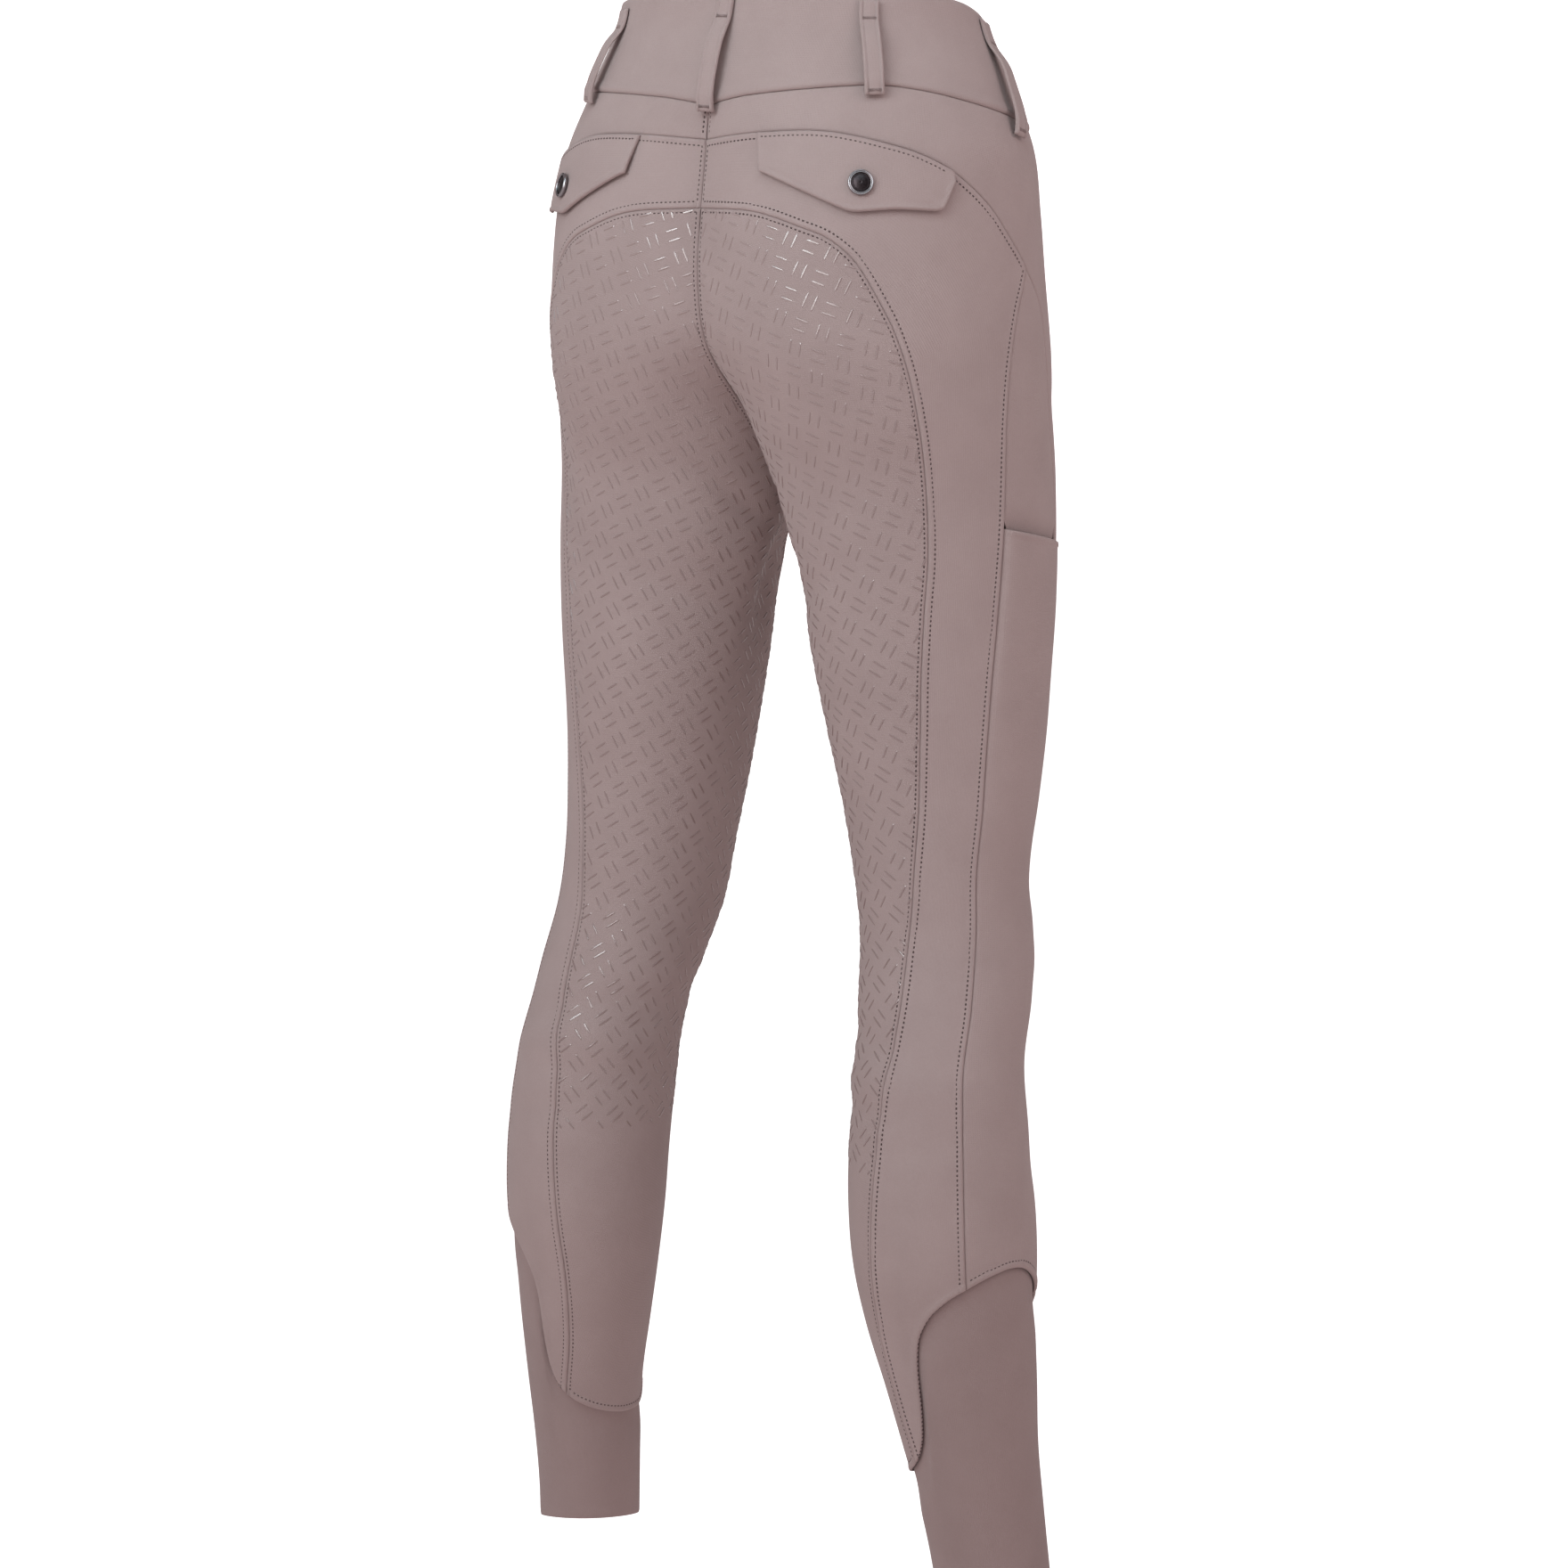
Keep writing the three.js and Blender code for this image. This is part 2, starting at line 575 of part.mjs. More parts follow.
// One piece of cloth, parted above the knee into two simpler solids
function seatPanel(side, suffix) {
  const right = [...riseBack, ...innerSeam.slice(1)];
  const left = seatSeam.slice(SEAT_COLUMNS);
  const top = seatSeam.slice(0, SEAT_COLUMNS + 1).reverse();
  const grid = fill(left, right, top, cuffBack, RISE_BACK_CUTS, CUFF_BLEND);
  const gaps = { left: HALF_GAP, top: HALF_GAP, right: HALF_GAP };
  const seatGaps = { ...gaps, bottom: HALF_GAP };
  const seat = wallGrid(side, grid.slice(0, SEAT_PART + 1), { ...panel, gaps: seatGaps });
  const leg = wallGrid(side, grid.slice(SEAT_PART), { ...panel, gaps });
  return [
    wallMesh(`seat-panel-${suffix}`, SEAT, [seat]),
    wallMesh(`seat-panel-${suffix}-leg`, SEAT, [leg]),
  ];
}

function hipPanel(side, suffix) {
  const upper = [...yoke, ...hipSeam.slice(1)];
  const top = straightLine(upper[0], seatSeam[0], HIP_COLUMNS);
  const grid = fill(upper, seatSeam, top, cuffHip, 1, CUFF_BLEND);
  const gaps = { left: HALF_GAP, right: HALF_GAP };
  return wallMesh(`hip-panel-${suffix}`, SHELL, [wallGrid(side, grid, { ...panel, gaps })]);
}

function frontPanel(side, suffix) {
  const band = waistBack.map((node, i) => straightLine(node, yoke[i], YOKE_ROWS));
  const cut = band[SIDE_CORNER];
  const left = [...cut, ...yoke.slice(SIDE_CORNER + 1), ...frontSeam.slice(1)];
  const right = [...riseFront, ...innerFront.slice(1)];
  const bottom = [...cuffFront].reverse();
  const grid = fill(left, right, waistFront, bottom, RISE_FRONT_CUTS, CUFF_BLEND);
  const bandGaps = { top: HALF_GAP, bottom: HALF_GAP };
  const walls = [
    wallGrid(side, grid, { ...panel, gaps: { right: HALF_GAP, top: HALF_GAP, left: HALF_GAP } }),
    wallGrid(side, transpose(band), { ...panel, gaps: bandGaps }),
  ];
  for (let j = 1; j < YOKE_ROWS; j += 1) {
    walls[0].outer[j][0].copy(walls[1].outer[j][SIDE_CORNER]);
    walls[0].inner[j][0].copy(walls[1].inner[j][SIDE_CORNER]);
  }
  for (const j of [0, YOKE_ROWS]) {
    for (const face of ['outer', 'inner']) walls[0][face][j][0].copy(walls[1][face][j][SIDE_CORNER]);
  }
  return wallMesh(`front-panel-${suffix}`, SHELL, walls);
}

// Phone pocket: the side panel stands off the leg at its opening, over a backing

const openingZ = HIP_SEAM[3].z;

const standOff = (u, z) => POCKET_STAND * (1 - ease((openingZ - z) / POCKET_EASE))
  * ease(Math.min(u, 1 - u) / 0.3);

function sidePanel(side, suffix) {
  const left = frontSeam.slice(OPENING);
  const right = hipSeam.slice(OPENING);
  const top = straightLine(left[0], right[0], SIDE_COLUMNS);
  const grid = fill(left, right, top, cuffSide, CUFF_BLEND, CUFF_BLEND);
  const gaps = { left: HALF_GAP, right: HALF_GAP, top: 0 };
  const out = (u, v, node) => standOff(u, node.z);
  const inn = (u, v, node) => standOff(u, node.z) - PANEL_WALL;
  return wallMesh(`side-panel-${suffix}`, SHELL, [wallGrid(side, grid, { out, inn, gaps })]);
}

function pocketBacking(side, suffix) {
  const columns = 3;
  const tip = 0.22;
  const from = (nodes) => [
    { angle: mix(nodes[0].angle, nodes[1].angle, tip), z: mix(nodes[0].z, nodes[1].z, tip) },
    ...nodes.slice(1, OPENING + 1),
  ];
  const steps = 7;
  // One side edge: on the seam down to just above the opening, then inset beside it
  const edge = (seam, way) => {
    const nodes = from(seam);
    const above = nodes[OPENING - 1];
    const low = nodes[OPENING].z;
    const t = (low + POCKET_MOUTH - above.z) / (low - above.z);
    nodes[OPENING] = { angle: mix(above.angle, nodes[OPENING].angle, t), z: low + POCKET_MOUTH };
    for (let j = 0; j <= steps; j += 1) {
      const z = low + 2 - (POCKET_DEPTH * j) / steps;
      const inset = (way * BACKING_INSET) / section(z).outer;
      nodes.push({ angle: column(seam.slice(OPENING - 1), 'angle')(z) + inset, z });
    }
    return nodes;
  };
  const left = edge(frontSeam, 1);
  const right = edge(hipSeam, -1);
  const rows = left.map((node, j) => straightLine(node, right[j], columns));
  const gaps = { left: HALF_GAP, right: HALF_GAP };
  const seen = (OPENING + 0.5) / (rows.length - 1);
  const out = (u, v) => (v > seen ? -BACKING_SINK : 0);
  const inn = (u, v) => out(u, v) - PANEL_WALL;
  return wallMesh(`pocket-backing-${suffix}`, SHELL, [wallGrid(side, rows, { out, inn, gaps })]);
}

// Sock cuff, its top edge tucked under the leg panels

function sockCuff(side, suffix) {
  const ring = [
    ...cuffFront.slice(0, -1), ...cuffSide.slice(0, -1), ...cuffHip.slice(0, -1), ...cuffBack,
  ];
  const shares = [0, 0.1, 0.3, 0.5, 0.75, 1];
  const rows = shares.map((t, j) => ring.map((node, i) => {
    const even = mix(ring[0].angle, ring[0].angle + 2 * Math.PI, i / (ring.length - 1));
    const angle = mix(node.angle, even, t ** 2);
    const hem = HEM + HEM_RISE.rise * Math.max(0, Math.cos(even - HEM_RISE.angle * deg));
    return { angle, z: mix(node.z, hem, t), key: `${i % (ring.length - 1)},${j}` };
  }));
  const faces = { out: flat(CUFF_FACE), inn: flat(CUFF_FACE - CUFF_WALL) };
  const wall = wallGrid(side, rows, { ...faces, gaps: { top: -TUCK } });
  for (const face of ['outer', 'inner']) {
    const line = wall[face][0];
    const middle = line[0].clone().lerp(line[line.length - 1], 0.5);
    line[0].copy(middle);
    line[line.length - 1].copy(middle);
  }
  return wallMesh(`sock-cuff-${suffix}`, JERSEY, [wall]);
}

// Waistband, one piece round the back, open at the centre front

function waistband() {
  const half = [...waistBack, ...waistFront.slice(1)];
  const build = (side) => {
    const rows = BAND_ROWS.map((row, j) => half.map((node, i) => {
      const top = bandTop(node.angle);
      const z = mix(top, node.z, row.at);
      let { angle } = node;
      if (i === 0) angle = angleBackAt(z);
      if (i === half.length - 1) angle = angleFrontAt(z);
      return { angle, z, key: i === 0 ? `back,${j}` : `${side},${i},${j}` };
    }));
    const out = (u, v) => BAND_ROWS[Math.round(v * (BAND_ROWS.length - 1))].proud;
    const inn = (u, v) => out(u, v) - BAND_WALL;
    const wall = wallGrid(side, rows, { out, inn, gaps: { bottom: HALF_GAP } });
    for (const face of ['outer', 'inner']) wall[face].forEach((line) => { line[0].x = 0; });
    if (side < 0) {
      for (const name of ['outer', 'inner', 'keys']) wall[name].forEach((line) => line.reverse());
    }
    return wall;
  };
  return wallMesh('waistband', BAND, [build(1), build(-1)]);
}

// Back pocket flaps

const yokeHeight = column(
  YOKE_SEAM.slice(1).map((row) => ({ angle: row.angle, z: row.z })).concat({ angle: 110, z: -95.5 }),
  'z',
  'angle',
);

function flapBottom(angle) {
  let k = 0;
  while (k < FLAP_EDGE.length - 2 && angle < FLAP_EDGE[k + 1].angle) k += 1;
  const t = (angle - FLAP_EDGE[k].angle) / (FLAP_EDGE[k + 1].angle - FLAP_EDGE[k].angle);
  return mix(FLAP_EDGE[k].z, FLAP_EDGE[k + 1].z, t);
}

function pocketFlap(side, suffix) {
  const rows = [];
  for (let j = 0; j <= FLAP_ROWS; j += 1) {
    rows.push(FLAP_COLUMNS.map((angle) => {
      const top = yokeHeight(angle) - 1.2;
      return { angle: angle * deg, z: mix(top, flapBottom(angle), j / FLAP_ROWS) };
    }));
  }
  const inn = (u, v) => FLAP_STAND + FLAP_LIFT * ease(v);
  const out = (u, v) => inn(u, v) + FLAP_WALL;
  return wallMesh(`pocket-flap-${suffix}`, SHELL, [wallGrid(side, rows, { out, inn })]);
}

// Buttons, turned about the normal of the cloth

function turnedMesh(name, look, profile, steps, place) {
  const points = [];
  const triangles = [];
  for (let i = 0; i < steps; i += 1) {
    const angle = (2 * Math.PI * i) / steps;
    profile.forEach(({ r, h }) => {
      points.push(new THREE.Vector3(r * Math.cos(angle), r * Math.sin(angle), h));
    });
  }
  const count = profile.length;
  for (let i = 0; i < steps; i += 1) {
    const a = i * count;
    const b = ((i + 1) % steps) * count;
    for (let k = 0; k < count; k += 1) {
      const n = (k + 1) % count;
      triangles.push([a + k, b + k, b + n], [a + k, b + n, a + n]);
    }
  }
  const turn = new THREE.Quaternion().setFromUnitVectors(new THREE.Vector3(0, 0, 1), place.way);
  points.forEach((p) => p.applyQuaternion(turn).add(place.foot));
  return closedMesh(name, look, points, triangles);
}

// A rim with two raised rings, and the dark domed centre in it
function button(name, place) {
  const { rim, bore, centre, height, dome } = BUTTON;
  const groove = (rim + bore) / 2;
  const ring = [
    { r: bore, h: 0 }, { r: rim, h: 0 }, { r: rim, h: height * 0.7 }, { r: rim - 0.4, h: height },
    { r: groove, h: height * 0.75 }, { r: bore + 0.35, h: height }, { r: bore, h: height * 0.8 },
  ];
  const hub = [
    { r: 0.4, h: 0 }, { r: centre, h: 0 }, { r: centre, h: dome * 0.7 },
    { r: centre * 0.6, h: dome * 0.95 }, { r: 0.4, h: dome },
  ];
  return [
    turnedMesh(`${name}-rim`, BRIGHT, ring, 20, place),
    turnedMesh(`${name}-centre`, GUNMETAL, hub, 16, place),
  ];
}

function placeAt(side, angle, z, lift) {
  const way = normal(side, angle, z);
  return { way, foot: surface(side, angle, z).addScaledVector(way, lift) };
}

// The same on the waistband and yoke, whose faces run straight between the waist nodes
function placeOnBand(side, angle, z, lift) {
  const nodes = [...waistBack, ...waistFront.slice(1)];
  let k = 0;
  while (k < nodes.length - 2 && nodes[k + 1].angle > angle) k += 1;
  const t = (angle - nodes[k].angle) / (nodes[k + 1].angle - nodes[k].angle);
  const foot = surface(side, nodes[k].angle, z).lerp(surface(side, nodes[k + 1].angle, z), t);
  const way = normal(side, angle, z);
  return { way, foot: foot.addScaledVector(way, lift) };
}

// The same on the centre back, for a strip that lies level over the centre seam
function placeAtBack(x, z, lift) {
  const part = section(z);
  const reach = Math.abs(x) + LOOP_WIDTH / 2;
  const angle = Math.acos((reach - part.centre) / part.innerBack);
  const way = normal(1, angle, z).setX(0).normalize();
  const foot = surface(1, angle, z).setX(x).addScaledVector(way, lift);
  return { way, foot };
}

// Belt loops

function beltLoop(loop) {
  const ribbon = LOOP_PATH.map((row) => {
    const z = mix(loop.start, loop.end, row.at);
    const lift = mix(LOOP_FLAT, LOOP_STAND, row.stand);
    if (loop.x) return placeAtBack(loop.x + loop.lean * row.at, z, lift);
    return placeOnBand(loop.side, mix(loop.top, loop.foot, row.at) * deg, z, lift);
  });
  const outer = [];
  const inner = [];
  const keys = [];
  ribbon.forEach(({ way, foot }, j) => {
    const before = ribbon[Math.max(j - 1, 0)].foot;
    const after = ribbon[Math.min(j + 1, ribbon.length - 1)].foot;
    const along = after.clone().sub(before).normalize();
    const across = along.clone().cross(way).normalize();
    const out = across.clone().cross(along).normalize();
    const line = [-1, 0, 1].map((u) => foot.clone().addScaledVector(across, (u * LOOP_WIDTH) / 2));
    inner.push(line);
    outer.push(line.map((point) => point.clone().addScaledVector(out, LOOP_WALL)));
    keys.push(line.map((_, i) => ({ key: `${i},${j}` })));
  });
  return wallMesh(loop.name, SHELL, [{ outer, inner, keys }]);
}

// Fly, a strip sewn over the centre front seam

function fly() {
  const columns = 5;
  const rows = 8;
  const outer = [];
  const inner = [];
  const keys = [];
  for (let j = 0; j <= rows; j += 1) {
    const z = mix(frontTop - 1, frontTop - FLY.length, j / rows);
    const below = Math.max(0, FLY.round - (z - (frontTop - FLY.length)));
    const cut = FLY.round - Math.sqrt(Math.max(0, FLY.round ** 2 - below ** 2));
    const width = FLY.width - cut * 0.85;
    const line = [];
    for (let i = 0; i <= columns; i += 1) {
      const x = mix(-FLY.overlap, width, i / columns);
      const side = x < 0 ? -1 : 1;
      const angle = angleAtX(Math.abs(x), z);
      line.push(placeAt(side, angle, z, FLY.stand));
    }
    inner.push(line.map(({ foot }) => foot));
    outer.push(line.map(({ foot, way }) => foot.clone().addScaledVector(way, FLY.wall)));
    keys.push(line.map((_, i) => ({ key: `${i},${j}` })));
  }
  return wallMesh('fly', SHELL, [{ outer, inner, keys }]);
}

// Assembly

const breeches = new THREE.Group();
breeches.name = 'riding-breeches';
for (const [side, suffix] of [[1, 'left'], [-1, 'right']]) {
  breeches.add(
    frontPanel(side, suffix),
    hipPanel(side, suffix),
    ...seatPanel(side, suffix),
    sidePanel(side, suffix),
    pocketBacking(side, suffix),
    sockCuff(side, suffix),
    pocketFlap(side, suffix),
  );
  const lift = FLAP_STAND + FLAP_LIFT + FLAP_WALL + 0.2;
  const place = placeAt(side, FLAP_BUTTON.angle * deg, FLAP_BUTTON.z, lift);
  breeches.add(...button(`flap-button-${suffix}`, place));
}
breeches.add(waistband(), fly());
BAND_BUTTONS.forEach(({ x, z }, i) => {
  const place = placeAt(1, angleAtX(x, z), z, 1.15);
  breeches.add(...button(`waist-button-${i + 1}`, place));
});
LOOPS.forEach((loop) => breeches.add(beltLoop(loop)));

export default breeches;
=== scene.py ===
# Full-seat riding breeches, worn form, dressed over the CAD frame.
# Tables are in millimetres, raw heights run down from the waistline. Blender works in metres.

import math

import bpy
import numpy as np
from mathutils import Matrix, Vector
from mathutils.bvhtree import BVHTree

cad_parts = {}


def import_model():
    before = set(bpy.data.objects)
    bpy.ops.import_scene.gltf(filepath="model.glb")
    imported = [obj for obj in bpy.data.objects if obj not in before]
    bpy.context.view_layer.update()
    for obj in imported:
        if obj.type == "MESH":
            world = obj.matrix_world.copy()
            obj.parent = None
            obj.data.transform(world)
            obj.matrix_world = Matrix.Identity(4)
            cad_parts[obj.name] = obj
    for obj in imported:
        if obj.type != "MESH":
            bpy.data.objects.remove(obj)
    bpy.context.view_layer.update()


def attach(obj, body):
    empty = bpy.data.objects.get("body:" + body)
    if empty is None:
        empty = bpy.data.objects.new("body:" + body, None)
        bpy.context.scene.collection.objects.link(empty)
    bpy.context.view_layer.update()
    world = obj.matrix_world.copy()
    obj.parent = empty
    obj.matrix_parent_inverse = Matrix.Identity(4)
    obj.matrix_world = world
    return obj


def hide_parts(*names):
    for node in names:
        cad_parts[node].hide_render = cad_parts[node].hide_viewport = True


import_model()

# Main sizes

MM = 0.001
WAIST_LIFT = 14.0
SEAM_GAP = 0.06
PANEL_WALL = 1.4
CUFF_WALL = 1.2
FLAP_WALL = 1.8
LOOP_WALL = 1.6
CROTCH = -300.0
RISE_TOP = -260.0
RISE_BEND = 0.6
FINE = 5

# Body of one half: z, centre, outer, back, front, back seam, front seam

TORSO = (
    (40, 8, 114, 84, 84, 83.5, 83.5),
    (0, 10, 117, 86, 86, 85, 85),
    (-20, 12, 120.5, 88, 89, 87, 88),
    (-60, 24, 138, 99, 99, 95, 98),
    (-100, 38, 155, 110, 103, 101, 101),
    (-140, 48, 160, 118, 102, 107, 100),
    (-180, 57, 163, 121, 99, 110, 95),
    (-220, 66, 166, 119, 95, 100, 85),
    (-260, 76, 168, 106, 90, 58, 64),
)

# Leg: z, centre, outer, inner, half depth, shift in y, skew

LEG = (
    (-300, 85, 169, 0, 90, 0, 0.02),
    (-340, 93, 170, 13, 83, 0, 0.045),
    (-380, 98.5, 169.5, 25.5, 77, 1, 0.062),
    (-420, 101.7, 168.5, 33.2, 73, 1.5, 0.055),
    (-460, 105, 168, 41, 68, 1.7, 0.042),
    (-500, 108, 167, 49, 62, 3, 0.02),
    (-540, 111.3, 165.3, 57.3, 58, 6.4, 0),
    (-580, 116.9, 169.5, 64.5, 57, 9.4, 0),
    (-620, 124, 176, 72, 56, 21.6, 0.015),
    (-660, 128.5, 179.5, 77.5, 55, 36, 0.015),
    (-700, 132.6, 185.6, 79.6, 56.5, 41.7, 0.026),
    (-740, 135.9, 190, 82, 58, 44, 0.048),
    (-780, 138.4, 191.5, 85.4, 57, 43.5, 0.057),
    (-820, 140.7, 189, 92.2, 52, 40, 0.065),
    (-860, 145.4, 189, 102, 47.5, 35.2, 0.058),
    (-900, 149.9, 188.4, 111.4, 43, 30.5, 0.057),
    (-940, 153.9, 189, 119, 40, 23.3, 0.052),
    (-980, 157.3, 190.8, 123.8, 37.5, 17.2, 0.05),
    (-1015, 160, 193, 127, 37, 13.5, 0.05),
)

# Level edges: angle in degrees, height

BAND_TOP = (
    (115, -2), (80, -4), (50, -7), (20, -9), (0, -13), (-30, -23), (-60, -25), (-100, -26),
)
WAIST_SEAM = (
    (115, -77), (103, -73), (93, -70.5), (71, -66.5), (57, -64.8), (47, -64),
    (32, -67), (13, -74), (-3, -80), (-30, -89), (-60, -95), (-105, -97),
)
CUFF_SEAM = (
    (-180, -922), (-159, -921), (-130, -907), (-105, -882), (-80, -851), (-55, -820),
    (-35, -800), (-19, -787.5), (-8, -781), (6, -778), (20, -780), (42, -788),
    (59, -797), (74, -811), (82, -825), (87, -843), (91, -866), (96, -884),
    (103, -896), (115, -906), (128, -912), (153, -919), (180, -922), (201, -921),
    (230, -907), (260, -876),
)
HEM = -1003.0
HEM_RISE = (124.0, 8.0)

# Seams that run down: angle (None on the centre back), height, steps since the last count

YOKE_SEAM = (
    (None, -95.5, 0), (83, -91.5, None), (64, -91.8, None), (46, -99.6, None),
    (36, -106.2, None), (26, -116.5, 9), (14, -135, None), (7, -150.7, None), (-3, -173, 3),
)
FRONT_SEAM = (
    (-3, -173, 0), (-9, -184, None), (-15, -200, None), (-18, -226, None), (-21, -254, None),
    (-27.6, -341, 6), (-33, -420, None), (-38, -600, None), (-40, -804.6, 20),
)
HIP_SEAM = (
    (-3, -173, 0), (5, -207, None), (11.9, -260, None), (16.1, -329, 6), (21, -401, None),
    (28.7, -479, None), (33.9, -549, None), (38, -610, None), (40, -690, None), (42, -788, 20),
)
SEAT_SEAM = (
    (None, -136.5, 0), (91, -138.8, None), (74, -149, None), (66, -156, None), (59, -169, 9),
    (53.4, -190, None), (49.2, -211, None), (47.3, -235, None), (48, -268, None),
    (50.5, -300, 6), (54, -345, None), (59, -385, None), (65, -454, None), (74, -541, None),
    (83, -590, None), (91.6, -650, None), (99, -686, None), (103, -722, None),
    (107.7, -765, None), (113, -820, None), (115.5, -865, None), (112, -903.7, 23),
)
INNER_SEAM = (
    (180, -300, 0), (205, -335, None), (222, -372, None), (229, -430, None),
    (232, -600, None), (230, -907, 23),
)
RISE_BACK_CUTS = 6 * FINE
RISE_FRONT_CUTS = 8 * FINE
FRONT_COLUMNS = 10 * FINE
HIP_COLUMNS = 5 * FINE
SIDE_COLUMNS = 4 * FINE
SEAT_COLUMNS = 9 * FINE
YOKE_ROWS = 2 * FINE
SIDE_CORNER = 9 * FINE
OPENING = 6 * FINE
CUFF_BLEND = 9 * FINE

# Phone pocket and sock cuff

POCKET_STAND = 3.0
POCKET_DEPTH = 170.0
POCKET_EASE = 230.0
POCKET_MOUTH = 6.0
POCKET_SIDE = 0.3
BACKING_START = 0.3
BACKING_SHORT = 2.0
BACKING_INSET = 4.0
BACKING_BEND = 8.0
BACKING_SINK = 1.9
SINK_START = 4.0
SINK_EASE = 6.0
OPENING_Z = -329.0
TUCK = 4.0
CUFF_FACE = -2.3
CUFF_FULL = 2.6
CUFF_EASE = 30.0
CUFF_CREASE = 0.6
CUFF_TURN_START = 0.985
CUFF_TURN_SPAN = 0.015
CUFF_TURN_IN = 0.4
CUFF_TURN_THIN = 0.5

# Height of the cloth over the body beside a seam: distance from the seam, height

PLAIN_EDGE = ((0, -1.0), (0.5, -0.4), (1.2, -0.08), (2.4, 0))
SOFT_EDGE = ((0, -0.5), (0.5, -0.15), (1.1, 0.05), (1.8, 0.05), (2.4, -0.1), (3.2, 0))
FLAT_EDGE = ((0, -0.75), (0.5, -0.2), (1.1, 0.05), (1.8, 0.05), (2.4, -0.14), (3.2, 0))
WELT_EDGE = ((0, -0.75), (0.4, 0), (1, 0.5), (2.6, 0.55), (3.5, 0.2), (4, -0.08), (5, 0))
CUFF_EDGE = ((0, -0.6), (0.4, 0.1), (1, 0.6), (3.2, 0.65), (4, 0.25), (4.5, -0.05), (6, 0))
MOUTH_EDGE = ((0, -0.3), (0.5, 0.5), (2.6, 0.7), (3.3, 0.2), (4.2, 0))
FLAT_ROW = 2.4
WELT_ROW = 4.0
CUFF_ROW = 4.5

# Points of the pieces that a row of stitches lies toward: angle in degrees, height

BELOW_YOKE = (60, -120.0)
ABOVE_YOKE = (80, -84.0)
BELLY = (-90, -200.0)
THIGH = (-90, -500.0)

# Extra grid lines beside an edge, in cells of the grid

EDGE_LINES = (0.1, 0.25, 0.5, 0.75, 1.25)


# Interpolation

def smooth_curve(pairs):
    """A smooth curve through pairs of place and value."""
    pairs = sorted(pairs)
    x = np.array([pair[0] for pair in pairs], float)
    y = np.array([pair[1] for pair in pairs], float)
    step = np.diff(x)
    rise = np.diff(y) / step
    slope = np.empty_like(x)
    slope[0] = rise[0]
    slope[-1] = rise[-1]
    slope[1:-1] = (rise[:-1] * step[1:] + rise[1:] * step[:-1]) / (step[1:] + step[:-1])

    def at(place):
        place = np.asarray(place, float)
        i = np.clip(np.searchsorted(x, place) - 1, 0, len(x) - 2)
        h = step[i]
        t = (place - x[i]) / h
        start = ((2 * t - 3) * t * t + 1) * y[i] + ((t - 2) * t + 1) * t * slope[i] * h
        end = (3 - 2 * t) * t * t * y[i + 1] + (t - 1) * t * t * slope[i + 1] * h
        return start + end

    return at


def read_table(pairs, place):
    """Values of a table of places and values, read along straight lines."""
    return np.interp(place, [pair[0] for pair in pairs], [pair[1] for pair in pairs])


def ease(t):
    t = np.clip(t, 0, 1)
    return t * t * (3 - 2 * t)


def mix(a, b, t):
    return a + (b - a) * t


def unit(vectors):
    length = np.linalg.norm(vectors, axis=-1, keepdims=True)
    return vectors / np.maximum(length, 1e-9)


# Body surface

BODY = [row[:5] + (0, 0) for row in TORSO]
BODY += [(row[0], row[1], row[2], row[4], row[4], row[5], row[6]) for row in LEG]


def body_column(place):
    return smooth_curve([(row[0], row[place]) for row in BODY])


centre_x = body_column(1)
outer_x = body_column(2)
back_depth = body_column(3)
front_depth = body_column(4)
shift_y = body_column(5)
leg_skew = body_column(6)
inner_x = smooth_curve([(row[0], row[3]) for row in LEG])
seam_back_y = smooth_curve([(row[0], row[5]) for row in TORSO])
seam_front_y = smooth_curve([(row[0], row[6]) for row in TORSO])
band_top = smooth_curve(BAND_TOP)
waist_seam = smooth_curve(WAIST_SEAM)
cuff_seam = smooth_curve(CUFF_SEAM)


def seam_share(seam_y, depth, z):
    """Where a centre seam lies, as a share of the depth of the section."""
    low = np.clip((z - CROTCH) / (RISE_TOP - CROTCH), 0, 1) ** RISE_BEND
    y = np.where(z > RISE_TOP, seam_y(z), seam_y(RISE_TOP) * low)
    return np.clip(y / depth, 0, 0.995)


def section(z):
    z = np.asarray(z, float)
    centre = centre_x(z)
    share_back = seam_share(seam_back_y, back_depth(z), z)
    share_front = seam_share(seam_front_y, front_depth(z), z)
    above = z > CROTCH
    leg_inner = centre - inner_x(z)
    return {
        "centre": centre,
        "outer": outer_x(z) - centre,
        "back": back_depth(z),
        "front": front_depth(z),
        "shift": shift_y(z),
        "skew": leg_skew(z),
        "inner_back": np.where(above, centre / np.sqrt(1 - share_back ** 2), leg_inner),
        "inner_front": np.where(above, centre / np.sqrt(1 - share_front ** 2), leg_inner),
        "angle_back": np.where(above, math.pi - np.arcsin(share_back), math.pi),
        "angle_front": np.where(above, np.arcsin(share_front) - math.pi, -math.pi),
    }


def surface(side, angle, z):
    """Points of the outer face of the cloth, in millimetres."""
    angle, z = np.broadcast_arrays(np.asarray(angle, float), np.asarray(z, float))
    part = section(z)
    c = np.cos(angle)
    s = np.sin(angle)
    inner = np.where(s >= 0, part["inner_back"], part["inner_front"])
    width = np.where(c >= 0, part["outer"], inner)
    depth = np.where(s >= 0, part["back"], part["front"])
    skew = 1 - part["skew"] * np.sin(2 * angle)
    x = side * (part["centre"] + width * c * skew)
    y = part["shift"] + depth * s * skew
    return np.stack([x, y, z], axis=-1)


def normal(side, angle, z):
    turn = 0.004
    drop = 0.5
    angle = np.asarray(angle, float)
    z = np.asarray(z, float)
    across = surface(side, angle + turn, z) - surface(side, angle - turn, z)
    down = surface(side, angle, z + drop) - surface(side, angle, z - drop)
    return unit(np.cross(across, down) * side)


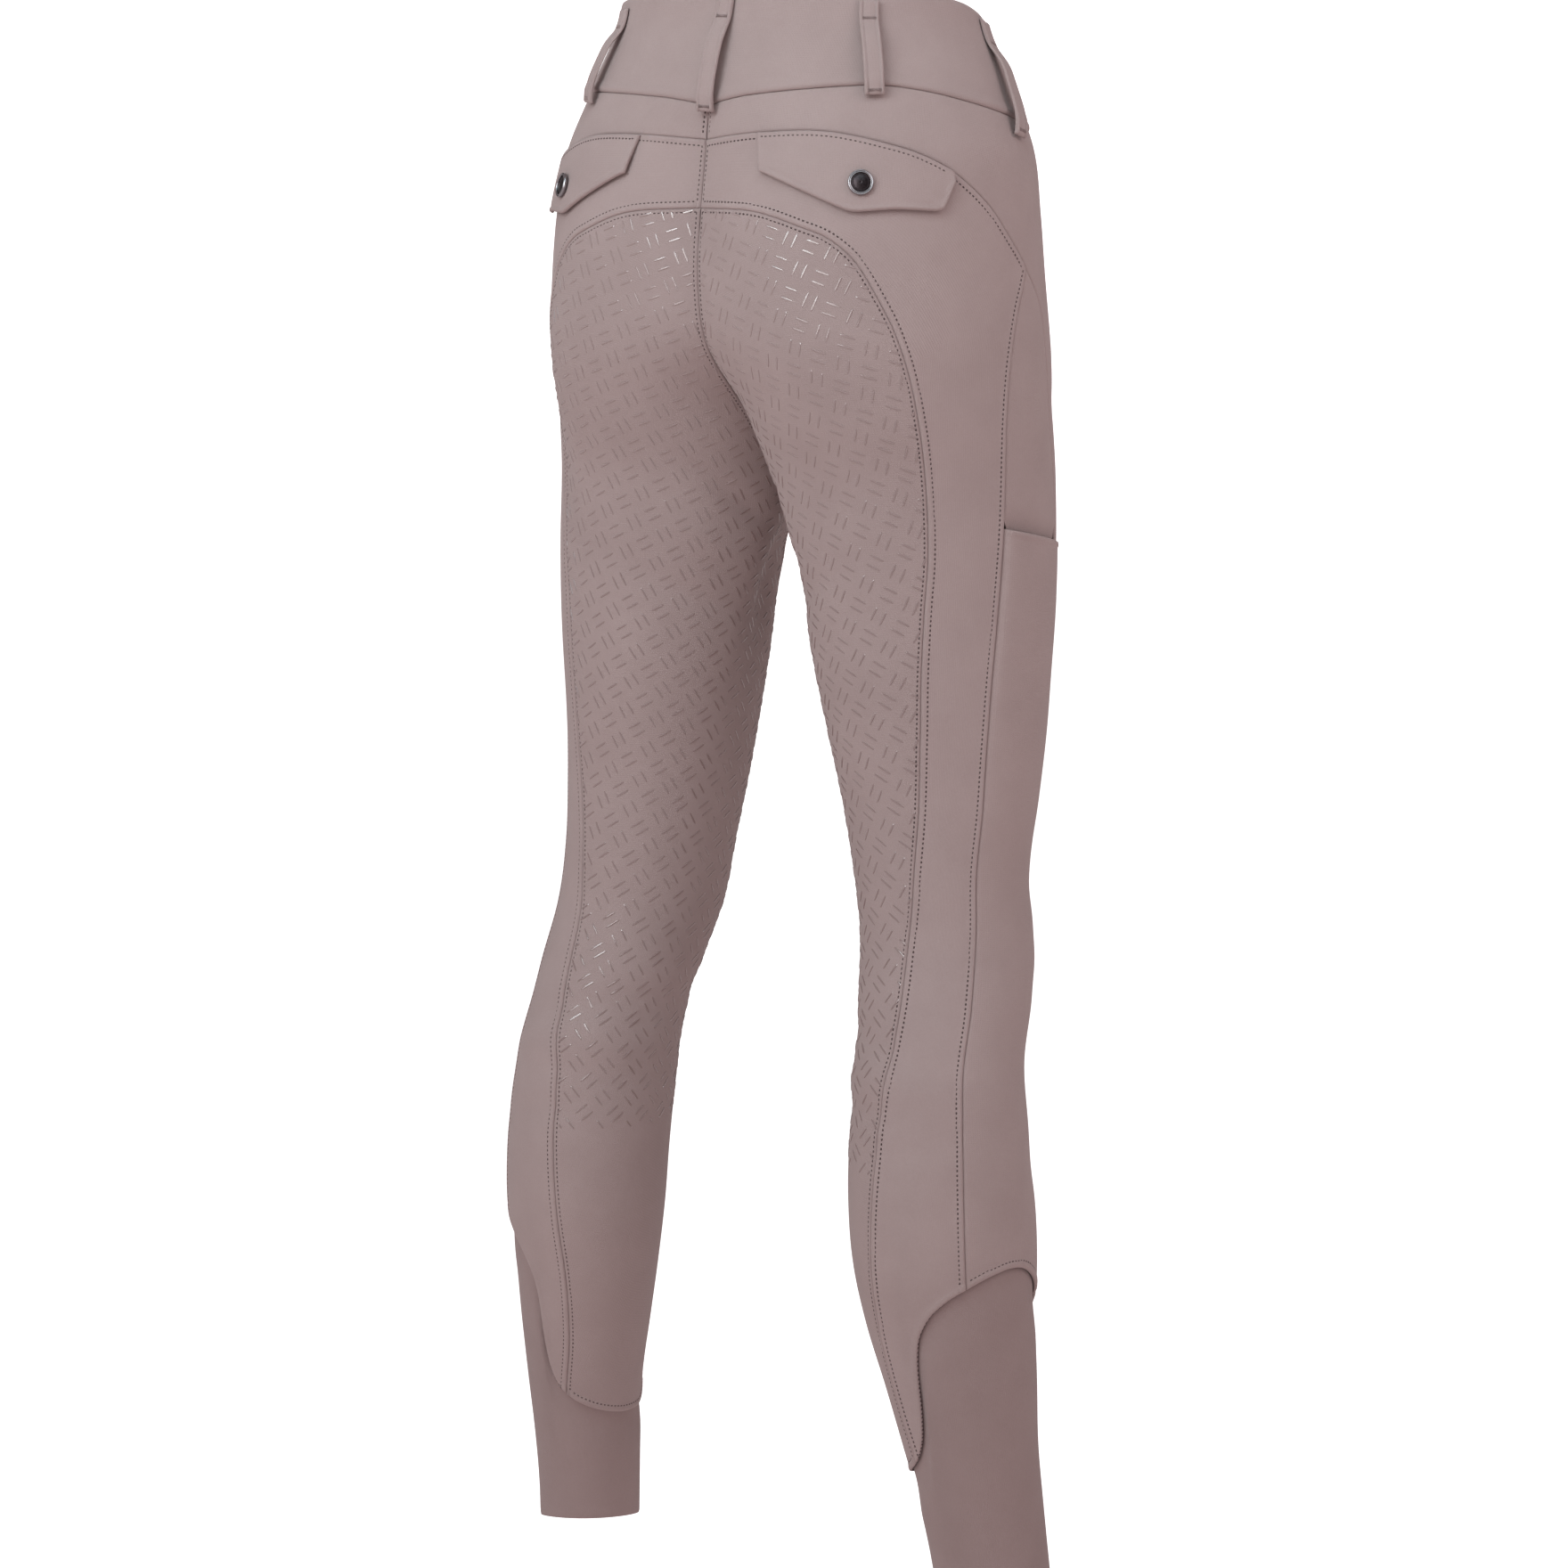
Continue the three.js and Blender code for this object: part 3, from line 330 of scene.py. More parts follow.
def skin(side, angle, z):
    """Points of the body's surface, with their normals."""
    return surface(side, angle, z), normal(side, angle, z)


def spot_at(side, place):
    """A point of the body's surface at an angle in degrees and a height."""
    return surface(side, math.radians(place[0]), place[1])


def angle_back(z):
    return section(z)["angle_back"]


def angle_front(z):
    return section(z)["angle_front"]


def angle_at_x(x, z):
    """Angle of the front where a half has the given x."""
    part = section(z)
    return -np.arccos(np.clip((x - part["centre"]) / part["inner_front"], -1, 1))


# Lines of (angle, height) nodes

def equal_steps(curve, start, end, cuts):
    """Nodes at equal distances along a curve, without the first one."""
    t = np.linspace(start, end, 8 * cuts + 1)
    nodes = curve(t)
    points = surface(1, nodes[:, 0], nodes[:, 1])
    run = np.linalg.norm(np.diff(points, axis=0), axis=1)
    marks = np.concatenate([[0], np.cumsum(run)])
    wanted = marks[-1] * np.arange(1, cuts + 1) / cuts
    return curve(np.interp(wanted, marks, t))


def seam_nodes(rows):
    angles = []
    for angle, z, _ in rows:
        angles.append(float(angle_back(z)) if angle is None else math.radians(angle))
    angle_at = smooth_curve(list(enumerate(angles)))
    z_at = smooth_curve([(i, row[1]) for i, row in enumerate(rows)])

    def curve(at):
        return np.stack([angle_at(at), z_at(at)], axis=-1)

    nodes = [curve(np.array([0.0]))]
    start = 0
    for i, row in enumerate(rows):
        if row[2]:
            nodes.append(equal_steps(curve, start, i, row[2] * FINE))
            start = i
    return np.concatenate(nodes)


def level_nodes(height, start, end, cuts):
    """Nodes of an edge that runs round, its height given against the angle."""
    def curve(angle):
        return np.stack([angle, height(np.degrees(angle))], axis=-1)

    first = curve(np.array([start]))
    return np.concatenate([first, equal_steps(curve, start, end, cuts)])


def rise_nodes(angle_at, top, cuts):
    def curve(t):
        z = mix(top, CROTCH, t)
        return np.stack([angle_at(z), z], axis=-1)

    return np.concatenate([curve(np.array([0.0])), equal_steps(curve, 0, 1, cuts)])


def straight_line(start, end, cuts):
    t = np.linspace(0, 1, cuts + 1)[:, None]
    return mix(np.asarray(start), np.asarray(end), t)


def fill(left, right, top, bottom, top_rows, bottom_rows):
    """A four-sided grid. left and right run down, top and bottom run across."""
    rows = len(left) - 1
    columns = len(top) - 1
    u = np.linspace(0, 1, columns + 1)[None, :, None]
    j = np.arange(rows + 1)[:, None, None]
    straight = mix(left[:, None, :], right[:, None, :], u)
    top_bend = (top - mix(top[0], top[-1], u[0]))[None]
    bottom_bend = (bottom - mix(bottom[0], bottom[-1], u[0]))[None]
    from_top = 1 - ease(j / top_rows)
    from_bottom = 1 - ease((rows - j) / bottom_rows)
    return straight + top_bend * from_top + bottom_bend * from_bottom


def line_places(count, edges):
    """Places of the grid lines: whole steps, with extra ones beside the given edges."""
    places = set(range(count + 1))
    for edge, way in edges:
        for extra in EDGE_LINES:
            place = edge + way * extra
            if 0 < place < count:
                places.add(round(place, 4))
    return np.array(sorted(places))


def resample(grid, rows, columns):
    """The grid at fractional rows and columns."""
    low = np.minimum(rows.astype(int), len(grid) - 2)
    t = (rows - low)[:, None, None]
    grid = mix(grid[low], grid[low + 1], t)
    low = np.minimum(columns.astype(int), grid.shape[1] - 2)
    t = (columns - low)[None, :, None]
    return mix(grid[:, low], grid[:, low + 1], t)


def finer(grid, row_edges, column_edges):
    rows = line_places(grid.shape[0] - 1, row_edges)
    columns = line_places(grid.shape[1] - 1, column_edges)
    return resample(grid, rows, columns)


def both_ends(count):
    return ((0, 1), (count, -1))


# Seams of one half

yoke = seam_nodes(YOKE_SEAM)
front_seam = seam_nodes(FRONT_SEAM)
hip_seam = seam_nodes(HIP_SEAM)
seat_seam = seam_nodes(SEAT_SEAM)
inner_seam = seam_nodes(INNER_SEAM)
rise_back = rise_nodes(angle_back, SEAT_SEAM[0][1], RISE_BACK_CUTS)
front_top = float(waist_seam(math.degrees(float(angle_front(WAIST_SEAM[-1][1])))))
rise_front = rise_nodes(angle_front, front_top, RISE_FRONT_CUTS)
waist_back = yoke[:SIDE_CORNER + 1].copy()
waist_back[0, 0] = float(angle_back(WAIST_SEAM[0][1]))
waist_back[:, 1] = waist_seam(np.degrees(waist_back[:, 0]))
waist_front = level_nodes(waist_seam, yoke[SIDE_CORNER, 0], rise_front[0, 0], FRONT_COLUMNS)
waist_front[-1] = rise_front[0]
inner_front = inner_seam - np.array([2 * math.pi, 0])
cuff_back = level_nodes(cuff_seam, seat_seam[-1, 0], inner_seam[-1, 0], SEAT_COLUMNS)
cuff_hip = level_nodes(cuff_seam, hip_seam[-1, 0], seat_seam[-1, 0], HIP_COLUMNS)
cuff_side = level_nodes(cuff_seam, front_seam[-1, 0], hip_seam[-1, 0], SIDE_COLUMNS)
cuff_front = level_nodes(cuff_seam, inner_front[-1, 0], front_seam[-1, 0], FRONT_COLUMNS)
cuff_ring = np.concatenate([cuff_front[:-1], cuff_side[:-1], cuff_hip[:-1], cuff_back])

# Creases: angle and height of the middle, tilt in degrees from level, half length, half width,
# depth (negative is a trough). The list is the same on both legs, with its own ones after it.

CREASE_FORCE = 1.2
CREASES = (
    (150, -318, -35, 34, 7, -1.6),
    (140, -342, -30, 40, 9, 1.0),
    (128, -372, -24, 46, 9, -1.2),
    (118, -640, 8, 40, 9, -1.6),
    (112, -662, 4, 46, 11, 1.2),
    (122, -684, -6, 42, 9, -1.4),
    (150, -655, 12, 30, 8, -1.2),
    (205, -640, 6, 34, 9, -1.2),
    (30, -640, -10, 34, 14, -0.5),
    (20, -672, 6, 36, 14, 0.4),
    (-60, -560, 10, 44, 13, -1.0),
    (-75, -600, -4, 48, 14, 1.2),
    (-95, -632, 8, 40, 12, -0.9),
    (-110, -330, 28, 44, 9, -1.6),
    (-125, -306, 34, 40, 8, 1.2),
    (-95, -300, 26, 48, 10, -1.2),
    (-60, -268, 18, 44, 11, -1.0),
    (-30, -720, 40, 40, 14, -0.8),
    (80, -840, 60, 36, 10, -0.8),
)
LEFT_CREASES = (
    (166, -360, 84, 60, 17, 2.2),
    (189, -364, 86, 44, 21, -8),
    (213, -344, 90, 32, 26, -4.4),
    (38, -245, 90, 70, 30, -7),
    (36, -385, 90, 60, 35, 2.5),
    (100, -706, 14, 36, 9, -1.2),
    (90, -500, 70, 60, 16, -0.9),
)
RIGHT_CREASES = (
    (-36, -245, 90, 60, 30, 2.2),
    (149, -350, 90, 27, 26, -4.2),
    (70, -700, -12, 34, 10, -1.0),
    (60, -880, 75, 30, 8, -0.8),
)


def relief(side, points, faces):
    """Height of the soft creases at points of the body surface."""
    own = LEFT_CREASES if side > 0 else RIGHT_CREASES
    total = np.zeros(points.shape[:-1])
    for angle, z, tilt, length, width, depth in CREASES + own:
        angle = math.radians(angle)
        middle = surface(side, angle, z)
        face = normal(side, angle, z)
        round_way = unit(surface(side, angle + 0.01, z) - surface(side, angle - 0.01, z))
        up_way = unit(np.cross(face, round_way))
        if up_way[2] < 0:
            up_way = -up_way
        along = round_way * math.cos(math.radians(tilt)) + up_way * math.sin(math.radians(tilt))
        across = np.cross(face, along)
        away = points - middle
        a = away @ along / length
        b = away @ across / width
        near = ease((faces @ face - 0.1) / 0.5)
        total += depth * CREASE_FORCE * near * np.exp(-a * a - b * b)
    return total


# Distances to seams

def seam_points(side, nodes):
    return surface(side, nodes[:, 0], nodes[:, 1])


def distance_to(points, line):
    """Distance of each point from a line of points."""
    best = np.full(len(points), np.inf)
    for start, end in zip(line[:-1], line[1:]):
        way = end - start
        share = np.clip((points - start) @ way / max(way @ way, 1e-9), 0, 1)
        gap = np.linalg.norm(points - start - share[:, None] * way, axis=1)
        best = np.minimum(best, gap)
    return best


def edge_height(side, points, edges):
    """Rolled and raised edges. edges holds pairs of seam nodes and a profile."""
    low = np.zeros(len(points))
    high = np.zeros(len(points))
    for nodes, profile in edges:
        height = read_table(profile, distance_to(points, seam_points(side, nodes)))
        low = np.minimum(low, height)
        high = np.maximum(high, height)
    return np.where(low < 0, low, high)


# Meshes

def place(points):
    """From table millimetres to the row frame in metres."""
    return (np.asarray(points) + np.array([0, 0, WAIST_LIFT])) * MM


def link(name, data):
    """A new object in the scene."""
    piece = bpy.data.objects.new(name, data)
    bpy.context.scene.collection.objects.link(piece)
    return piece


def new_piece(name, points, faces, material, uvs=None, smooth=True):
    mesh = bpy.data.meshes.new(name)
    mesh.from_pydata(place(points).tolist(), [], faces)
    mesh.polygons.foreach_set("use_smooth", [smooth] * len(mesh.polygons))
    if uvs is not None:
        layer = mesh.uv_layers.new(name="cut")
        layer.data.foreach_set("uv", np.asarray(uvs, np.float32).ravel())
    mesh.materials.append(material)
    mesh.update()
    piece = link(name, mesh)
    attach(piece, "root")
    return piece


def cut_lengths(points):
    """Flat coordinates of a grid of points, measured along its rows and columns."""
    across = np.linalg.norm(np.diff(points, axis=1), axis=2)
    down = np.linalg.norm(np.diff(points, axis=0), axis=2)
    u = np.concatenate([np.zeros((len(points), 1)), np.cumsum(across, axis=1)], axis=1)
    v = np.concatenate([np.zeros((1, points.shape[1])), np.cumsum(down, axis=0)], axis=0)
    middle = points.shape[1] // 2
    return np.stack([u - u[:, middle:middle + 1], -v], axis=-1) * MM


class Shell:
    """Outer and inner points of one or more grids, welded where the keys agree."""

    def __init__(self):
        self.outer = []
        self.inner = []
        self.index = {}
        self.quads = []
        self.uvs = []

    def number(self, key, outer, inner):
        """The number of a point, which is added the first time its key comes."""
        if key not in self.index:
            self.index[key] = len(self.outer)
            self.outer.append(outer)
            self.inner.append(inner)
        return self.index[key]

    def add(self, keys, outer, inner):
        ids = []
        for line, outs, ins in zip(keys, outer, inner):
            ids.append([self.number(*point) for point in zip(line, outs, ins)])
        uv = cut_lengths(outer)
        for j in range(len(ids) - 1):
            for i in range(len(ids[0]) - 1):
                corners = ((j, i), (j + 1, i), (j + 1, i + 1), (j, i + 1))
                self.quads.append(tuple(ids[a][b] for a, b in corners))
                self.uvs.append(tuple(uv[a, b] for a, b in corners))

    def build(self, name, material, slot="shell"):
        """The closed mesh, with a search tree of its outer face."""
        count = len(self.outer)
        edges = {}
        faces = []
        uvs = []
        for quad, uv in zip(self.quads, self.uvs):
            for k in range(4):
                edges[(quad[k], quad[(k + 1) % 4])] = (uv[k], uv[(k + 1) % 4])
            faces.append(quad)
            faces.append(tuple(n + count for n in reversed(quad)))
            uvs.extend(uv + uv[::-1])
        for (a, b), (uv_a, uv_b) in edges.items():
            if (b, a) not in edges:
                faces.append((b, a, a + count, b + count))
                uvs.extend((uv_b, uv_a, uv_a, uv_b))
        points = np.array(self.outer + self.inner)
        corners = points[np.array([face[:3] for face in faces])]
        if (corners[:, 0] * np.cross(corners[:, 1], corners[:, 2])).sum() < 0:
            faces = [face[::-1] for face in faces]
            uvs = [uv for start in range(0, len(uvs), 4) for uv in reversed(uvs[start:start + 4])]
        piece = new_piece(name, points, faces, material, uvs)
        return piece, BVHTree.FromPolygons(place(self.outer).tolist(), self.quads)


def grid_keys(grid):
    """Keys by place, so that grids are welded where they meet."""
    return [[(round(a, 5), round(z, 3)) for a, z in line] for line in grid.tolist()]


def offset_points(side, points, faces, amount):
    """Moves points along their normals. On the centre plane they stay on it."""
    way = faces.copy()
    centred = np.abs(points[..., 0]) < 0.01
    way[..., 0] = np.where(centred, 0, way[..., 0])
    length = np.linalg.norm(way, axis=-1)
    reach = np.where(centred, np.minimum(1 / np.maximum(length, 0.01), 2), 1)
    moved = points + unit(way) * (amount * reach)[..., None]
    moved[..., 0] = side * np.maximum(side * moved[..., 0], SEAM_GAP / 2)
    return moved


def wall(side, grid, edges, extra=0):
    """Outer and inner face of a panel. extra is added to its height over the body."""
    points, faces = skin(side, grid[..., 0], grid[..., 1])
    height = edge_height(side, points.reshape(-1, 3), edges).reshape(points.shape[:-1]) + extra
    height = height + relief(side, points, faces)
    outer = offset_points(side, points, faces, height)
    inner = offset_points(side, points, faces, height - PANEL_WALL)
    return outer, inner


# Stitching: sizes of one stitch and of one stitch of a bar tack, and the ends left bare

STITCH = {"length": 1.7, "width": 1.0, "height": 0.3}
STITCH_PITCH = 2.9
TACK = {"length": 2.2, "width": 0.7, "height": 0.35}
TACK_PITCH = 0.75
STITCH_SINK = 0.05
ROW_END = 2.0
SEAM_END = 3.0

# One stitch as a spindle: its points along, across and up, and its faces

SPINDLE = (
    (-0.5, 0, 0.05), (-0.3, -0.5, 0), (-0.3, 0, 1), (-0.3, 0.5, 0),
    (0.3, -0.5, 0), (0.3, 0, 1), (0.3, 0.5, 0), (0.5, 0, 0.05),
)
SPINDLE_FACES = (
    (0, 2, 1), (0, 3, 2), (0, 1, 3), (7, 4, 5), (7, 5, 6), (7, 6, 4),
    (1, 2, 5, 4), (2, 3, 6, 5), (3, 1, 4, 6),
)


def spaced(points, margin):
    """Places of the stitches along a line, with its direction there."""
    run = np.linalg.norm(np.diff(points, axis=0), axis=1)
    marks = np.concatenate([[0], np.cumsum(run)])
    count = max(0, int((marks[-1] - 2 * margin) / STITCH_PITCH))
    at = margin + STITCH_PITCH * (np.arange(count) + 0.5)
    spots = np.stack([np.interp(at, marks, points[:, k]) for k in range(3)], axis=-1)
    ahead = np.stack([np.interp(at + 0.5, marks, points[:, k]) for k in range(3)], axis=-1)
    return spots, unit(ahead - spots)


def on_cloth(tree, points):
    """The nearest points of a piece's outer face, with its normals."""
    found = [tree.find_nearest(Vector(point))[:2] for point in place(points)]
    spots = np.array([spot for spot, _ in found]) / MM - np.array([0, 0, WAIST_LIFT])
    return spots, np.array([way for _, way in found])


def beside(side, nodes, distance, toward):
    """A line at a distance beside a seam. toward is a point of the piece it lies on."""
    points = seam_points(side, nodes)
    faces = normal(side, nodes[:, 0], nodes[:, 1])
    across = unit(np.cross(np.gradient(points, axis=0), faces))
    middle = len(points) // 2
    if (toward - points[middle]) @ across[middle] < 0:
        across = -across
    return points + across * distance


class Stitches:
    """Thread of one piece, gathered into one mesh."""

    def __init__(self):
        self.points = []
        self.faces = []

    def add(self, spots, along, ways, size):
        across = unit(np.cross(ways, along))
        along = unit(np.cross(across, ways))
        for spot, a, c, w in zip(spots, along, across, ways):
            start = len(self.points)
            for x, y, z in SPINDLE:
                lift = z * size["height"] - STITCH_SINK
                self.points.append(spot + a * x * size["length"] + c * y * size["width"] + w * lift)
            self.faces += [tuple(start + n for n in face) for face in SPINDLE_FACES]

    def row(self, tree, line, margin):
        spots, along = spaced(line, margin)
        if len(spots):
            spots, ways = on_cloth(tree, spots)
            self.add(spots, along, ways, STITCH)

    def bar(self, spot, along, way, width):
        """A bar tack: close stitches side by side across a strip."""
        across = unit(np.cross(way, along))
        places = np.arange(-width / 2, width / 2 + 0.01, TACK_PITCH)
        same = np.ones((len(places), 1))
        self.add(spot + across * places[:, None], same * along, same * way, TACK)

    def build(self, name, material):
        return new_piece(name, self.points, self.faces, material)


def sew(side, name, tree, rows):
    """Rows beside seams: seam nodes, distance, a point of the piece, length of the bare ends."""
    stitches = Stitches()
    for nodes, distance, toward, margin in rows:
        stitches.row(tree, beside(side, nodes, distance, toward), margin)
    return stitches.build(f"{name}-stitches", thread)


# Materials

def feed(tree, node, sockets):
    """Links the sockets that are given another node's output, and sets the others."""
    for name, value in sockets.items():
        if isinstance(value, bpy.types.NodeSocket):
            tree.links.new(value, node.inputs[name])
        else:
            node.inputs[name].default_value = value


def add_node(tree, kind, sockets=None, **settings):
    node = tree.nodes.new(f"ShaderNode{kind}")
    for name, value in settings.items():
        setattr(node, name, value)
    feed(tree, node, sockets or {})
    return node


def add_ramp(tree, factor, low, high, start=0, end=1):
    """A colour between low and high."""
    node = add_node(tree, "ValToRGB", {"Fac": factor})
    for element, position, colour in zip(node.color_ramp.elements, (start, end), (low, high)):
        element.position = position
        element.color = colour + (1,)
    return node.outputs["Color"]


def add_bump(tree, shader, height, strength, distance):
    bump = add_node(tree, "Bump", {"Strength": strength, "Distance": distance, "Height": height})
    feed(tree, shader, {"Normal": bump.outputs["Normal"]})


def new_material(name, sockets):
    """A material with the given values on its shader."""
    material = bpy.data.materials.new(name)
    material.use_nodes = True
    shader = material.node_tree.nodes["Principled BSDF"]
    feed(material.node_tree, shader, sockets)
    return material, material.node_tree, shader


def linear(red, green, blue):
    """Scene colour of a screen colour given from 0 to 255."""
    values = []
    for value in (red, green, blue):
        value = value / 255
        values.append(value / 12.92 if value <= 0.04045 else ((value + 0.055) / 1.055) ** 2.4)
    return tuple(values)


HEATHER_SHARE = 0.3
COURSE_SHARE = 1.3
KNIT_DEPTH = 0.00025


def cloth_material(name, light, dark, pitch, bump, roughness, sheen, slant):
    """Knitted cloth: fine wales and courses in relief, with a faint mottle in the colour."""
    material, tree, shader = new_material(name, {
        "Roughness": roughness, "Specular IOR Level": 0.3,
        "Sheen Weight": sheen, "Sheen Roughness": 0.5,
    })
    where = add_node(tree, "TexCoord")
    rotation = (0, 0, math.radians(slant))
    turn = add_node(tree, "Mapping", {"Rotation": rotation, "Vector": where.outputs["UV"]})
    cut = turn.outputs["Vector"]
    scale = math.pi / 20 / (pitch * MM)
    wales = add_node(tree, "TexWave", {
        "Scale": scale, "Distortion": 0.6, "Detail": 1, "Vector": cut}, bands_direction="X")
    courses = add_node(tree, "TexWave", {
        "Scale": COURSE_SHARE * scale, "Distortion": 0.8, "Vector": cut}, bands_direction="Y")
    knit = add_node(tree, "Math", {
        0: wales.outputs["Fac"], 1: courses.outputs["Fac"]}, operation="MULTIPLY")
    add_bump(tree, shader, knit.outputs["Value"], bump, KNIT_DEPTH)
    mottle = add_node(tree, "TexNoise", {
        "Scale": 22, "Detail": 5, "Roughness": 0.6, "Vector": where.outputs["Object"]})
    heather = add_node(tree, "TexNoise", {
        "Scale": 900, "Detail": 1, "Vector": where.outputs["Object"]})
    blend = add_node(tree, "Mix", {
        "Factor": HEATHER_SHARE, "A": mottle.outputs["Fac"], "B": heather.outputs["Fac"],
    }, data_type="FLOAT")
    colour = add_ramp(tree, blend.outputs["Result"], dark, light, 0.3, 0.7)
    feed(tree, shader, {"Base Color": colour})
    return material


def plain_material(name, light, dark, scale, roughness, metallic=0.0):
    """Smooth stuff whose colour varies a little with a fine noise."""
    material, tree, shader = new_material(name, {"Roughness": roughness, "Metallic": metallic})
    where = add_node(tree, "TexCoord")
    noise = add_node(tree, "TexNoise", {
        "Scale": scale, "Detail": 3, "Vector": where.outputs["Object"]})
    colour = add_ramp(tree, noise.outputs["Fac"], dark, light, 0.35, 0.65)
    feed(tree, shader, {"Base Color": colour})
    add_bump(tree, shader, noise.outputs["Fac"], 0.15, 0.0001)
    return material


def print_material_with_painted_light():
    """Glossy print, as light as the cloth at the top of the seat and darker further down. The
    darker tone is the print's own colour; the lighter top is painted light, for the stronger light
    high on the seat.
    """
    material, tree, shader = new_material("silicone", {
        "Roughness": 0.16, "Coat Weight": 1.0, "Coat Roughness": 0.08})
    where = add_node(tree, "TexCoord")
    parts = add_node(tree, "SeparateXYZ", {"Vector": where.outputs["Object"]})
    height = add_node(tree, "MapRange", {
        "From Min": -0.36, "From Max": -0.13, "Value": parts.outputs["Z"]})
    # Painted light: the colour runs from the print's own dark tone low on the seat to a lighter
    # tone at its top, where more light falls.
    colour = add_ramp(
        tree, height.outputs["Result"], linear(138, 118, 116), linear(155, 136, 134))
    feed(tree, shader, {"Base Color": colour})
    return material


shell_cloth = cloth_material(
    "shell-knit", linear(166, 147, 145), linear(157, 138, 136), 0.8, 0.35, 0.86, 0.12, 0)
seat_cloth = cloth_material(
    "seat-knit", linear(162, 143, 141), linear(153, 134, 132), 0.8, 0.35, 0.84, 0.12, 20)
jersey_cloth = cloth_material(
    "cuff-jersey", linear(155, 135, 133), linear(147, 127, 125), 0.6, 0.4, 0.9, 0.1, 0)
thread = plain_material("thread", linear(92, 75, 74), linear(80, 64, 63), 700, 0.6)
tack_thread = plain_material(
    "tack-thread", linear(150, 130, 128), linear(132, 112, 110), 700, 0.6)
silicone = print_material_with_painted_light()
bright_metal = plain_material(
    "bright-metal", linear(158, 155, 158), linear(140, 137, 140), 500, 0.2, 1.0)
dark_metal = plain_material(
    "gunmetal", linear(60, 54, 56), linear(46, 41, 43), 900, 0.28, 1.0)

# Flat cut of each piece, in metres: width, length, area

CUTS = {
    "front-panel": (0.27, 0.9, 0.111),
    "hip-panel": (0.14, 0.88, 0.0513),
    "seat-panel": (0.22, 0.865, 0.119),
    "side-panel": (0.092, 0.471, 0.0344),
    "pocket-backing": (0.065, 0.343, 0.0184),
    "sock-cuff": (0.26, 0.23, 0.038),
    "pocket-flap": (0.105, 0.049, 0.0046),
    "waistband": (0.8, 0.078, 0.0538),
    "fly": (0.036, 0.14, 0.0047),
    "belt-loop": (0.0135, 0.085, 0.00107),
}


def declare(piece, cut, nodes):
    """Hides the nodes that a sheet stands for."""
    width, length, area = CUTS[cut]
    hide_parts(*nodes)


def one_grid(name, outer, inner):
    """A cloth piece of a single grid, none of whose points are welded."""
    rows, columns = outer.shape[:2]
    shell = Shell()
    shell.add([[(i, j) for i in range(columns)] for j in range(rows)], outer, inner)
    return shell.build(f"{name}-cloth", shell_cloth)


# Panels of one half

HALVES = {1: "left", -1: "right"}


def panel(side, cut, grids, edges, rows=(), extra=0):
    """Cloth, stitches and print of one panel, and the nodes that it stands for."""
    name = f"{cut}-{HALVES[side]}"
    seat = cut == "seat-panel"
    shell = Shell()
    for grid in grids:
        shell.add(grid_keys(grid), *wall(side, grid, edges, extra))
    piece, tree = shell.build(
        f"{name}-cloth", seat_cloth if seat else shell_cloth, "seat" if seat else "shell")
    parts = [sew(side, name, tree, rows)] if rows else []
    nodes = [name]
    if seat:
        parts.append(grip_print(side, f"{name}-print"))
        nodes.append(f"{name}-leg")
    declare(piece, cut, nodes)


def with_edges(side, grid):
    """The grid with extra lines along its edges, and a point in its middle."""
    rows, columns = grid.shape[0] - 1, grid.shape[1] - 1
    middle = surface(side, *grid[(rows + 1) // 2, columns // 2])
    return finer(grid, both_ends(rows), both_ends(columns)), middle


def seat_panel(side):
    right = np.concatenate([rise_back, inner_seam[1:]])
    top = seat_seam[:SEAT_COLUMNS + 1][::-1]
    grid = fill(seat_seam[SEAT_COLUMNS:], right, top, cuff_back, RISE_BACK_CUTS, CUFF_BLEND)
    high = surface(side, *grid[RISE_BACK_CUTS // 2, SEAT_COLUMNS // 2])
    grid, middle = with_edges(side, grid)
    edges = (
        (seat_seam, FLAT_EDGE), (rise_back, SOFT_EDGE),
        (inner_seam, FLAT_EDGE), (cuff_back, CUFF_EDGE),
    )
    rows = (
        (seat_seam, FLAT_ROW, middle, ROW_END),
        (rise_back, FLAT_ROW, high, ROW_END),
        (inner_seam, FLAT_ROW, middle, ROW_END),
        (cuff_back, CUFF_ROW, middle, ROW_END),
    )
    panel(side, "seat-panel", [grid], edges, rows)


def hip_panel(side):
    upper = np.concatenate([yoke, hip_seam[1:]])
    top = straight_line(upper[0], seat_seam[0], HIP_COLUMNS)
    top[:, 0] = angle_back(top[:, 1])
    grid, middle = with_edges(side, fill(upper, seat_seam, top, cuff_hip, FINE, CUFF_BLEND))
    edges = (
        (upper, WELT_EDGE), (seat_seam, WELT_EDGE), (top, SOFT_EDGE), (cuff_hip, CUFF_EDGE),
    )
    below_yoke = spot_at(side, BELOW_YOKE)
    rows = (
        (yoke, WELT_ROW, below_yoke, SEAM_END),
        (hip_seam, WELT_ROW, middle, ROW_END),
        (seat_seam, WELT_ROW, middle, SEAM_END),
        (top, FLAT_ROW, below_yoke, SEAM_END),
        (cuff_hip, CUFF_ROW, middle, ROW_END),
    )
    panel(side, "hip-panel", [grid], edges, rows)


